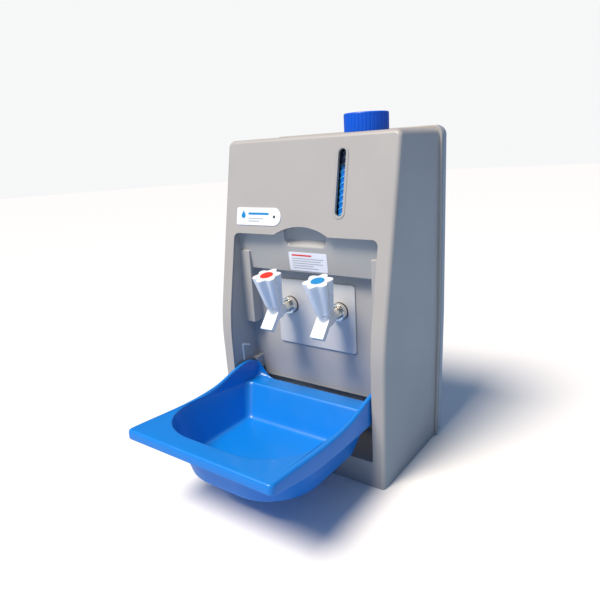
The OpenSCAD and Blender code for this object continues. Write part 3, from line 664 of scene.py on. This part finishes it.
rim_front = SHELL_BACK - RIM_W
rim_outside = prism(outline_at(RIM_OUT, rim_front, 0.5 * MM), (0, RIM_W - 0.2 * MM, 0))
rim = to_object("housing_rim", rim_outside)
combine(rim, prism(outline_at(-1 * MM, rim_front - 1 * MM, -1 * MM), (0, RIM_W + 2 * MM, 0)))
round_edges(rim, 1.6 * MM, 3)
settle(rim, "housing_plastic")

# %% [markdown]
# ## Rear cover
# The cover is a shallow tray with the same outline as the rim. Its rear edge has a large radius,
# which is beveled before the tray is hollowed.

# %% Rear cover
COVER_GAP = cover_lo[2]
WALL_HOLE_R = 3.5 * MM
SCREW_HOLE_R = 4.2 * MM
cover_front = cover_lo[1] + 0.6 * MM
cover_bm = prism(outline_at(RIM_OUT, cover_front, COVER_GAP), (0, cover_hi[1] - cover_front, 0))
bevel_where(cover_bm, 7 * MM, 6, lambda e: all(abs(v.co.y - cover_hi[1]) < 1e-5 for v in e.verts))
cover = to_object("rear_cover_shell", cover_bm)
inner = prism(outline_at(RIM_OUT - WALL, cover_lo[1] - 1 * MM, COVER_GAP + WALL),
              (0, cover_hi[1] - cover_lo[1] - WALL + 1 * MM, 0))
combine(cover, inner)
record_mounts = {mount["name"]: mount for mount in frame["record"]["mounts"]}
wall_bolts = record_mounts["wall_bolts"]
for side_x in (-1, 1):
    for side_z in (-1, 1):
        x = side_x * wall_bolts["dims"]["spacing_x_mm"] * MM / 2
        z = wall_bolts["pos_m"][2] + side_z * wall_bolts["dims"]["spacing_y_mm"] * MM / 2
        place = Matrix.Translation((x, cover_lo[1], z)) @ ALONG_Y
        combine(cover, round_rod(WALL_HOLE_R, 30 * MM, place))
SCREW_ZS = (40 * MM, BODY_H / 2, BODY_H - 38 * MM)
for side_x in (-1, 1):
    for z in SCREW_ZS:
        x = side_x * (half_at(z) - 7.5 * MM)
        place = Matrix.Translation((x, cover_lo[1] + 6 * MM, z)) @ ALONG_Y
        combine(cover, round_rod(SCREW_HOLE_R, 30 * MM, place))
round_edges(cover, 0.6 * MM, 2)
settle(cover, "cover_plastic", replaces=["rear_cover"])
print("cover faces:", len(cover.data.polygons))

# %% [markdown]
# ## Recess liner
# The liner is the wet wall behind the taps. It is easiest to draw the hollow that it encloses,
# as a solid: the side outline of the recess pushed across its width, less the two side columns.
# Its edges are rounded, its front is opened, and the skin that is left is turned inside out and
# given a wall.

# %% Recess liner
PANEL_Y = FRONT + 61 * MM
PANEL_Z = 158.5 * MM
HOPPER_Y = FRONT + 66 * MM
HOPPER_Z = 110 * MM
GUTTER_Y = FRONT + 78 * MM
GUTTER_Z = 104 * MM
BROW_Y = FRONT + 46 * MM
BROW_Z = 298 * MM
BROW_TOP_Y = FRONT + 38 * MM
BROW_TOP_Z = RECESS_TOP + NOTCH_H + 4 * MM
COLUMN_W = 18 * MM
COLUMN_Y = FRONT + 40 * MM
COLUMN_Z = PANEL_Z + 48 * MM
BROW_ANGLE = math.atan((BROW_Y - BROW_TOP_Y) / (BROW_TOP_Z - BROW_Z))
LINER_FRONT = FRONT - 20 * MM
LUG_W = 10.5 * MM


def recess_hollow():
    """Side outline of the recess as a solid."""
    outline = [(LINER_FRONT, RECESS_BOTTOM), (GUTTER_Y, RECESS_BOTTOM), (GUTTER_Y, GUTTER_Z),
               (HOPPER_Y, GUTTER_Z), (HOPPER_Y, HOPPER_Z), (PANEL_Y, PANEL_Z),
               (PANEL_Y, BROW_Z), (BROW_Y, BROW_Z), (BROW_TOP_Y, BROW_TOP_Z),
               (LINER_FRONT, BROW_TOP_Z)]
    return prism([(-RECESS_W / 2, y, z) for y, z in outline], (RECESS_W, 0, 0))


def side_column(side):
    """Upright column in a rear corner of the recess, with a sloping head under the brow."""
    outline = [(COLUMN_Y, RECESS_TOP - 30 * MM), (COLUMN_Y, COLUMN_Z), (PANEL_Y + 5 * MM, COLUMN_Z),
               (PANEL_Y + 5 * MM, RECESS_TOP - 30 * MM)]
    start = side * (RECESS_W / 2 + 1 * MM) - (COLUMN_W + 1 * MM if side > 0 else 0)
    return prism([(start, y, z) for y, z in outline], (COLUMN_W + 1 * MM, 0, 0))


def finger_scoop():
    """Pocket behind the finger notch, with a sloping lower ledge."""
    ledge = RECESS_TOP - 19 * MM
    outline = [(FRONT + 20 * MM, ledge), (FRONT + 41.5 * MM, ledge), (FRONT + 49 * MM, ledge + 10 * MM),
               (FRONT + 49 * MM, RECESS_TOP + 14 * MM), (FRONT + 20 * MM, RECESS_TOP + 14 * MM)]
    bm = prism([(-37 * MM, y, z) for y, z in outline], (74 * MM, 0, 0))
    bevel_where(bm, 7 * MM, 4, lambda e: abs(direction(e).x) < 0.5
                and min(v.co.y for v in e.verts) > FRONT + 30 * MM)
    return bm


def stop_lug(side):
    """Lug behind the end of a wing, which the open basin rests against."""
    outline = [(57, 118.6), (46, 136.6), (46, 141), (79, 141), (79, 118.6)]
    start = side * (RECESS_W / 2 + 1 * MM) - (LUG_W + 1 * MM if side > 0 else 0)
    return prism([(start, FRONT + y * MM, z * MM) for y, z in outline], (LUG_W + 1 * MM, 0, 0))


hollow = to_object("recess_liner_shell", recess_hollow())
for side in (-1, 1):
    combine(hollow, side_column(side))
    combine(hollow, stop_lug(side))
combine(hollow, finger_scoop(), "UNION")
round_edges(hollow, 2.4 * MM, 4, 20)


def skin_to_liner(piece):
    """Opens the front of the rounded solid, follows the housing's lean, and adds a wall."""
    bm = bmesh.new()
    bm.from_mesh(piece.data)
    slices = [BEND_H - BLEND_H + 2 * BLEND_H * i / BEND_STEPS for i in range(BEND_STEPS + 1)]
    for z in slices:
        bmesh.ops.bisect_plane(bm, geom=bm.verts[:] + bm.edges[:] + bm.faces[:],
                               plane_co=(0, 0, z), plane_no=(0, 0, 1), dist=1e-6)
    front = [f for f in bm.faces if f.calc_center_median().y < LINER_FRONT + 3 * MM]
    bmesh.ops.delete(bm, geom=front, context="FACES")
    for vert in bm.verts:
        edge = FRONT + front_at(vert.co.z) + WALL + 0.3 * MM
        if vert.co.y < edge:
            vert.co.y = edge
    bmesh.ops.remove_doubles(bm, verts=bm.verts, dist=0.02 * MM)
    bmesh.ops.dissolve_degenerate(bm, edges=bm.edges, dist=0.02 * MM)
    bmesh.ops.recalc_face_normals(bm, faces=bm.faces)
    bmesh.ops.reverse_faces(bm, faces=bm.faces)
    bm.to_mesh(piece.data)
    bm.free()
    wall = piece.modifiers.new("wall", "SOLIDIFY")
    wall.thickness = LINER_T
    wall.offset = -1
    apply_modifiers(piece)


skin_to_liner(hollow)
SPIGOT = Matrix.Translation((0, FRONT + 34 * MM, RECESS_BOTTOM - 10 * MM))
combine(hollow, round_rod(13.5 * MM, 20 * MM, SPIGOT))
settle(hollow, "liner_plastic", replaces=["recess_liner"])
print("liner faces:", len(hollow.data.polygons))

# %% [markdown]
# ## Small moulded and metal parts
# Parts whose shape is already right only lack soft edges. A copy of the node's mesh is merged,
# its flat faces are joined again, and its sharp edges get a small bevel that catches the light.


# %% Softened copies of nodes
def softened(node, width, segments=3, angle=35, body=None, merge=0.6, smooth=38):
    """A copy of a node with its sharp edges rounded, standing for the node."""
    bm = bmesh.new()
    bm.from_mesh(nodes[node].data)
    bmesh.ops.remove_doubles(bm, verts=bm.verts, dist=0.004 * MM)
    bmesh.ops.dissolve_limit(bm, angle_limit=math.radians(merge), verts=bm.verts, edges=bm.edges)
    piece = to_object(node + "_soft", bm)
    round_edges(piece, width, segments, angle)
    body = body or nodes[node]["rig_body"]
    return settle(piece, slot_of[node], body, [node], smooth)


SOFT_EDGES = {"tap_plate": 0.9, "sight_bezel": 0.5, "tap_collars": 1.2, "tap_gaskets": 0.4,
              "power_inlet": 1.0, "drain_cap": 0.5, "badge": 0.35, "cover_screws": 0.4,
              "hot_disc": 0.35, "cold_disc": 0.35, "status_led": 0.4, "hinge_bushes": 0.3,
              "hot_valve_body": 0.8, "cold_valve_body": 0.8, "info_label": 0.12,
              "filler_cap": 0.5, "tap_stems": 0.6}
for node, width in SOFT_EDGES.items():
    softened(node, width * MM)
print("softened:", len(SOFT_EDGES))

# %% [markdown]
# ## Basin
# The basin is one moulding with a smooth skin. It is built as a stack of closed rings with the
# same number of points: bowl floor, bowl rim, deck, wing crest, outer edge, skirt, and back up
# the underside. Bridging each ring to the next gives clean four-sided faces, and a subdivision
# surface rounds them. Two rings that lie close together keep an edge tight.

# %% Outlines of the basin
BASIN_FRONT = basin_lo[1]
BASIN_BACK = basin_hi[1]
BASIN_HALF = basin_hi[0]
WING_T = 8 * MM
BASIN_T = 3 * MM
LIP_Z = 130 * MM
BOWL_FLOOR = 55 * MM
DECK_Y = FRONT - 100 * MM
RIM_POINTS = [(-220, 0), (-110, -6.5), (-48, -3.5), (-10, 7), (26, 13), (45, 6), (56, -12)]
SKIRT_POINTS = [(-220, -14), (-170, -24), (-128, -30), (-70, -32), (0, -32), (56, -31)]


def through(points, y):
    """Smooth height at depth y through (depth, rise) points in millimetres."""
    depth = min(max((y - FRONT) / MM, points[0][0]), points[-1][0])
    index = max(i for i in range(len(points) - 1) if points[i][0] <= depth)
    a, b = points[max(index - 1, 0)], points[index]
    c, d = points[index + 1], points[min(index + 2, len(points) - 1)]
    t = (depth - b[0]) / (c[0] - b[0])
    rise = 0.5 * (2 * b[1] + (c[1] - a[1]) * t + (2 * a[1] - 5 * b[1] + 4 * c[1] - d[1]) * t ** 2
                  + (3 * b[1] - a[1] - 3 * c[1] + d[1]) * t ** 3)
    return LIP_Z + rise * MM


def rim_at(y):
    """Height of the rim's crest."""
    return through(RIM_POINTS, y)


def skirt_at(y):
    """Height of the skirt's lower edge."""
    return through(SKIRT_POINTS, y)


def deck_at(y):
    """Height of the floor between the wings, which falls towards the rear."""
    return rim_at(y) if y < DECK_Y else min(rim_at(y), 123.8 * MM - 0.132 * (y - DECK_Y))


def ring_points(half, front, back, front_r, back_r):
    """Closed outline with round corners and a fixed number of points, as (x, y)."""
    def line(a, b, steps):
        return [(a[0] + (b[0] - a[0]) * i / steps, a[1] + (b[1] - a[1]) * i / steps)
                for i in range(1, steps)]
    corners = [((half - front_r, front + front_r), front_r, 270, 360),
               ((half - back_r, back - back_r), back_r, 0, 90),
               ((-half + back_r, back - back_r), back_r, 90, 180),
               ((-half + front_r, front + front_r), front_r, 180, 270)]
    steps = (16, 14, 16, 14)
    points = []
    for number, (centre, radius, start, end) in enumerate(corners):
        turn = arc(centre, radius, start, end, 8)
        following = corners[(number + 1) % 4]
        goal = arc(following[0], following[1], following[2], following[3], 8)[0]
        points += turn + line(turn[-1], goal, steps[number])
    return points


def add_ring(bm, points, height):
    """Ring of vertices at (x, y) points, each at height(x, y)."""
    return [bm.verts.new((x, y, height(x, y))) for x, y in points]


def skin_rings(bm, rings):
    """Joins each ring to the next, point to point, and closes the two ends."""
    count = len(rings[0])
    for ring, following in zip(rings, rings[1:]):
        for i in range(count):
            j = (i + 1) % count
            bm.faces.new((ring[i], ring[j], following[j], following[i]))
    bm.faces.new(rings[0])
    bm.faces.new(rings[-1])
    bmesh.ops.recalc_face_normals(bm, faces=bm.faces)


# %% Bowl, wings and skirt as rings
BOWL_HALF = BASIN_HALF - WING_T - 0.5 * MM
BOWL_FRONT = FRONT - 190 * MM
BOWL_BACK = FRONT + 18 * MM
BOWL_R = 78 * MM
BOWL_SLOPE_X = 17 * MM
BOWL_SLOPE_FRONT = 19 * MM
BOWL_SLOPE_BACK = 25 * MM
WING_END = FRONT + 47 * MM


def bowl_outline(level, grow=0.0, ends=0.0):
    """Bowl from level 0, its floor, to 1, its rim; ends moves only its front and back."""
    left = 1 - level
    return ring_points(BOWL_HALF - BOWL_SLOPE_X * left + grow,
                       BOWL_FRONT + BOWL_SLOPE_FRONT * left - grow - ends,
                       BOWL_BACK - BOWL_SLOPE_BACK * left + grow + ends,
                       BOWL_R - 8 * MM * left + grow, 12 * MM - 2 * MM * left + grow)


def edge_outline(inset):
    """Outer edge of the basin, set in."""
    return ring_points(BASIN_HALF - inset, BASIN_FRONT + inset, BASIN_BACK - 0.7 * inset,
                       7 * MM - 0.5 * inset, 9 * MM - 0.5 * inset)


def bowl_wall(level, drop=0.0):
    """Height of the bowl's wall at a level, sloping as the deck does near the top."""
    return lambda x, y: BOWL_FLOOR + level * (deck_at(y) - BOWL_FLOOR) - drop


def crest(half, drop=0.0, wing_drop=0.0):
    """Height along the wings' crest, which falls to the deck round the rear corners."""
    def height(x, y):
        side = min(1.0, max(0.0, (abs(x) - (half - 9 * MM)) / (9 * MM)))
        shoulder = math.sqrt(1 - (1 - side) ** 2)
        rise = shoulder * (rim_at(min(y, WING_END)) - deck_at(y))
        return deck_at(y) + rise - drop - wing_drop * min(1.0, max(0.0, rise / (6 * MM)))
    return height


def shrink(points, share):
    """Ring drawn in towards its middle."""
    middle = (BOWL_FRONT + BOWL_BACK) / 2
    return [(x * share, middle + (y - middle) * share) for x, y in points]


def build_basin():
    """Basin skin: each pair of rings is bridged, and the two floors are closed."""
    bm = bmesh.new()
    floor = bowl_outline(0)
    under = bowl_outline(0, BASIN_T)
    plan = [(shrink(floor, share), lambda x, y: BOWL_FLOOR) for share in (0.25, 0.6, 0.88)]
    plan += [(shrink(floor, 0.965), lambda x, y: BOWL_FLOOR + 0.6 * MM),
             (bowl_outline(0.03), lambda x, y: BOWL_FLOOR + 3.2 * MM)]
    plan += [(bowl_outline(level), bowl_wall(level)) for level in (0.12, 0.35, 0.62, 0.84)]
    plan += [(bowl_outline(0.94), bowl_wall(0.94)),
             (bowl_outline(1.0, 0, -0.4 * MM), bowl_wall(1.0, 1.6 * MM)),
             (bowl_outline(1.0, 0, 1.0 * MM), bowl_wall(1.0, 0.3 * MM)),
             (bowl_outline(1.0, 0, 3.2 * MM), bowl_wall(1.0))]
    plan += [(edge_outline(WING_T + 0.35 * MM), bowl_wall(1.0, -0.2 * MM)),
             (edge_outline(WING_T - 0.4 * MM), crest(BASIN_HALF - WING_T, 0, 3.0 * MM)),
             (edge_outline(WING_T - 1.6 * MM), crest(BASIN_HALF - WING_T + 1.6 * MM, 0, 0.7 * MM)),
             (edge_outline(WING_T - 3.4 * MM), crest(BASIN_HALF - WING_T + 3.4 * MM)),
             (edge_outline(3.4 * MM), crest(BASIN_HALF - 3.4 * MM, 0.1 * MM)),
             (edge_outline(1.2 * MM), crest(BASIN_HALF - 1.2 * MM, 1.1 * MM)),
             (edge_outline(0.0), crest(BASIN_HALF, 3.8 * MM))]
    plan += [(edge_outline(0.0), lambda x, y: skirt_at(y) + 2.0 * MM),
             (edge_outline(0.5 * MM), lambda x, y: skirt_at(y) + 0.4 * MM),
             (edge_outline(1.5 * MM), lambda x, y: skirt_at(y)),
             (edge_outline(2.5 * MM), lambda x, y: skirt_at(y) + 0.5 * MM),
             (edge_outline(BASIN_T), lambda x, y: skirt_at(y) + 2.0 * MM),
             (edge_outline(BASIN_T), lambda x, y: deck_at(y) - BASIN_T - 1.5 * MM),
             (edge_outline(BASIN_T + 0.6 * MM), lambda x, y: deck_at(y) - BASIN_T)]
    plan += [(bowl_outline(1.0, BASIN_T - 0.8 * MM), lambda x, y: deck_at(y) - BASIN_T),
             (bowl_outline(0.96, BASIN_T - 0.4 * MM), lambda x, y: deck_at(y) - BASIN_T - 2 * MM)]
    plan += [(bowl_outline(level, BASIN_T), bowl_wall(level)) for level in (0.8, 0.5, 0.2, 0.06)]
    plan += [(bowl_outline(0.01, BASIN_T), lambda x, y: BOWL_FLOOR - 1.0 * MM),
             (shrink(under, 0.975), lambda x, y: BOWL_FLOOR - 2.8 * MM)]
    plan += [(shrink(under, share), lambda x, y: BOWL_FLOOR - BASIN_T) for share in (0.9, 0.6, 0.25)]
    skin_rings(bm, [add_ring(bm, points, height) for points, height in plan])
    return bm


basin = to_object("basin_shell", build_basin())
soft = basin.modifiers.new("soft skin", "SUBSURF")
soft.levels = 2
soft.render_levels = 2
apply_modifiers(basin)
settle(basin, "basin_plastic", "basin", ["basin"], 60)
print("basin faces:", len(basin.data.polygons))

# %% [markdown]
# ## Star knobs
# A knob is a cone with six lobes that grow towards the top, and broad flutes between them. Each
# ring of points follows one formula, so the flutes deepen smoothly as the rings climb. The top
# is closed with a shallow seat for the coloured disc.

# %% Star knobs
LOBES = 6
KNOB_FOOT = 10.1 * MM
KNOB_TOP = 62.1 * MM
KNOB_FOOT_R = 13.6 * MM
KNOB_TOP_R = 22.5 * MM
FLUTE_FOOT = 2.2 * MM
FLUTE_TOP = 5.8 * MM
DISC_R = 10.15 * MM
KNOB_POINTS = 96


def lobed_ring(bm, height, inset=0.0, flute=1.0):
    """Ring of the knob's outline at a height on the tap's own axis."""
    share = (height - KNOB_FOOT) / (KNOB_TOP - KNOB_FOOT)
    outer = KNOB_FOOT_R + share * (KNOB_TOP_R - KNOB_FOOT_R) - inset
    depth = (FLUTE_FOOT + share * (FLUTE_TOP - FLUTE_FOOT)) * flute
    verts = []
    for i in range(KNOB_POINTS):
        angle = math.radians(360 * i / KNOB_POINTS)
        valley = (0.5 - 0.5 * math.cos(LOBES * (angle - math.radians(30)))) ** 1.25
        radius = outer - depth * valley
        verts.append(bm.verts.new((radius * math.cos(angle), radius * math.sin(angle), height)))
    return verts


def round_ring(bm, height, radius):
    """Plain ring with the same number of points."""
    points = arc((0, 0), radius, 0, 360, KNOB_POINTS)[:-1]
    return [bm.verts.new((x, y, height)) for x, y in points]


def star_knob(joint):
    """Knob about a joint's axis."""
    bm = bmesh.new()
    rings = [round_ring(bm, KNOB_FOOT, 6 * MM), lobed_ring(bm, KNOB_FOOT, 1.6 * MM),
             lobed_ring(bm, KNOB_FOOT + 0.4 * MM, 0.4 * MM), lobed_ring(bm, KNOB_FOOT + 1.6 * MM)]
    climb = KNOB_TOP - KNOB_FOOT
    rings += [lobed_ring(bm, KNOB_FOOT + climb * share) for share in (0.2, 0.4, 0.6, 0.8, 0.93)]
    rings += [lobed_ring(bm, KNOB_TOP - 1.3 * MM), lobed_ring(bm, KNOB_TOP - 0.35 * MM, 0.35 * MM),
              lobed_ring(bm, KNOB_TOP, 1.3 * MM, 0.96), round_ring(bm, KNOB_TOP, DISC_R + 1.2 * MM),
              round_ring(bm, KNOB_TOP, DISC_R + 0.35 * MM), round_ring(bm, KNOB_TOP - 0.4 * MM, DISC_R),
              round_ring(bm, KNOB_TOP - 1.2 * MM, DISC_R), round_ring(bm, KNOB_TOP - 1.2 * MM, 5 * MM)]
    skin_rings(bm, rings)
    axis = Vector(joint["axis"])
    turn = Matrix.Rotation(math.atan2(-axis.y, axis.z), 4, "X")
    bmesh.ops.transform(bm, matrix=Matrix.Translation(joint["pos_m"]) @ turn, verts=bm.verts)
    return bm


for side in ("hot", "cold"):
    knob = to_object(side + "_star_knob", star_knob(joints[side + "_tap_turn"]))
    settle(knob, "tap_plastic", side + "_handle", [side + "_knob"], 50)
print("knob faces:", len(knob.data.polygons))

# %% [markdown]
# ## Level hose, clips and print
# The level hose behind the sight slot is a blue tube with a lighter helix moulded round it. The
# clips on the side walls are bent from round wire. Both are curves with a round section, made
# into meshes. The badge and the label carry plain marks in place of print: a drop and bars.


# %% Curves with a round section
def wire(name, points, radius, cyclic=False, smooth=True):
    """Round wire along points, as a mesh object."""
    curve = bpy.data.curves.new(name, "CURVE")
    curve.dimensions = "3D"
    curve.bevel_depth = radius
    curve.bevel_resolution = 4
    curve.use_fill_caps = True
    spline = curve.splines.new("POLY")
    spline.points.add(len(points) - 1)
    for point, place in zip(spline.points, points):
        point.co = (*place, 1)
    drawn = bpy.data.objects.new(name, curve)
    scene.collection.objects.link(drawn)
    graph = bpy.context.evaluated_depsgraph_get()
    mesh = bpy.data.meshes.new_from_object(drawn.evaluated_get(graph))
    bpy.data.objects.remove(drawn)
    piece = bpy.data.objects.new(name, mesh)
    scene.collection.objects.link(piece)
    bm = bmesh.new()
    bm.from_mesh(mesh)
    bmesh.ops.remove_doubles(bm, verts=bm.verts, dist=0.001 * MM)
    bmesh.ops.recalc_face_normals(bm, faces=bm.faces)
    bm.to_mesh(mesh)
    bm.free()
    return piece


def rounded_path(points, radius, steps=6):
    """Path through points with its corners rounded."""
    points = [Vector(p) for p in points]
    path = [points[0]]
    for before, corner, after in zip(points, points[1:], points[2:]):
        start = corner + (before - corner).normalized() * radius
        end = corner + (after - corner).normalized() * radius
        for i in range(steps + 1):
            t = i / steps
            path.append(start * (1 - t) ** 2 + corner * 2 * t * (1 - t) + end * t ** 2)
    return path + [points[-1]]


CLIP_R = 1.9 * MM
CLIP_POINTS = [(41, 164), (24, 170), (25, 142)]
for number, side in enumerate((-1, 1)):
    place = side * (RECESS_W / 2 + 0.1 * MM)
    route = [(place, FRONT + y * MM, z * MM) for y, z in CLIP_POINTS]
    clip = wire("side_clip_%d" % (number + 1), rounded_path(route, 3 * MM), CLIP_R)
    settle(clip, "bush_plastic", replaces=["side_clips"] if number == 0 else [])

TUBE_R = 6 * MM
HELIX_PITCH = 17 * MM
# Height from which the level hose and its helix fade to near black.
DARK_HOSE_Z = 444 * MM
HELIX_STEPS = 24
tube_place = on_slope(SIGHT_X, SIGHT_Z) @ Matrix.Translation((0, WALL + 2 * MM + TUBE_R, 0))
finishes["hose helix"] = moulded("hose helix", (0.02, 0.34, 0.72), 0.3, grain=0.03, coat=0.3)


def helix_points(start):
    """Points of one rib round the level hose, from a start angle in degrees."""
    points = []
    for i in range(int(SIGHT_H / HELIX_PITCH * HELIX_STEPS) + 1):
        angle = math.radians(start + 360 * i / HELIX_STEPS)
        local = (TUBE_R * math.cos(angle), TUBE_R * math.sin(angle), HELIX_PITCH * i / HELIX_STEPS)
        points.append(tube_place @ Vector(local))
    return points




def darken_above(material, low, high):
    """Fades a finish to near black between two heights."""
    tree = material.node_tree
    coords = tree.nodes.new("ShaderNodeTexCoord")
    split = tree.nodes.new("ShaderNodeSeparateXYZ")
    fade = tree.nodes.new("ShaderNodeMapRange")
    fade.inputs["From Min"].default_value = low
    fade.inputs["From Max"].default_value = high
    mix = tree.nodes.new("ShaderNodeMix")
    mix.data_type = "RGBA"
    mix.inputs["B"].default_value = (0.004, 0.012, 0.035, 1)
    shader = tree.nodes["Principled BSDF"]
    tree.links.new(coords.outputs["Object"], split.inputs["Vector"])
    tree.links.new(split.outputs["Z"], fade.inputs["Value"])
    tree.links.new(fade.outputs["Result"], mix.inputs["Factor"])
    tree.links.new(shader.inputs["Base Color"].links[0].from_socket, mix.inputs["A"])
    tree.links.new(mix.outputs["Result"], shader.inputs["Base Color"])


# The hose and its helix turn near black above this height.
for finish in ("tube_plastic", "hose helix"):
    darken_above(finishes[finish], DARK_HOSE_Z, DARK_HOSE_Z + 12 * MM)
for number, start in enumerate((0, 180)):
    rib = wire("level_hose_helix_%d" % (number + 1), helix_points(start), 1.2 * MM)
    settle(rib, "tube_plastic")
    rib.data.materials[0] = finishes["hose helix"]
print("helix turns: %.1f" % (SIGHT_H / HELIX_PITCH))


# %% Marks on the badge and the label
def flat_mark(name, outline, place, slot, thick=0.12 * MM):
    """Thin printed mark: outline in millimetres as (x, z) on a local plane, facing -Y."""
    bm = prism([(x * MM, 0, z * MM) for x, z in outline], (0, -thick, 0))
    bmesh.ops.transform(bm, matrix=place, verts=bm.verts)
    return settle(to_object(name, bm), slot)


def bar(x, z, width, height):
    """Outline of a bar with its lower left corner at (x, z)."""
    return [(x, z), (x + width, z), (x + width, z + height), (x, z + height)]


badge_lo, badge_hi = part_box("badge")
BADGE_Z = (badge_lo[2] + badge_hi[2]) / 2
BADGE_FACE = 1.02 * MM
LABEL_FACE = 0.42 * MM
badge_place = on_slope(badge_lo[0], BADGE_Z) @ Matrix.Translation((0, -BADGE_FACE, 0))
drop = [(14, 9)] + [(14 + x, 1 + z) for x, z in arc((0, 0), 4.2, 30, -210, 14)]
flat_mark("badge_drop", drop, badge_place, "blue_disc")
flat_mark("badge_bar_1", bar(24, 2.5, 40, 3.2), badge_place, "blue_disc")
flat_mark("badge_bar_2", bar(24, -4, 30, 1.6), badge_place, "hose_rubber")
flat_mark("badge_bar_3", bar(24, -8, 22, 1.6), badge_place, "hose_rubber")

label_lo, label_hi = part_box("info_label")
label_z = (label_lo[2] + label_hi[2]) / 2
label_y = BROW_Y - (label_z - BROW_Z) * math.tan(BROW_ANGLE)
label_place = Matrix.Translation((label_lo[0], label_y - LABEL_FACE, label_z))
label_place = label_place @ Matrix.Rotation(BROW_ANGLE, 4, "X")
LABEL_BARS = [(6, 8.5, 36, 2.4), (6, 4.0, 57, 1.3), (6, 0.3, 52, 1.3), (6, -3.4, 55, 1.3),
              (6, -7.1, 38, 1.3), (6, -10.8, 47, 1.3)]
for number, (x, z, width, height) in enumerate(LABEL_BARS):
    name = "label_bar_%d" % (number + 1)
    ink = "red_disc" if number == 0 else "hose_rubber"
    flat_mark(name, bar(x, z, width, height), label_place, ink)
print("label box, mm:", [round(v / MM, 1) for v in (*label_lo, *label_hi)])

# %% Size and finish
visual_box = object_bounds()
boxes = {"cad": cad_box, "visual": visual_box}
sizes = {name: [list(corner) for corner in box] for name, box in boxes.items()}
for name, (low, high) in sizes.items():
    print(name, "mm:", [round((b - a) / MM, 1) for a, b in zip(low, high)])
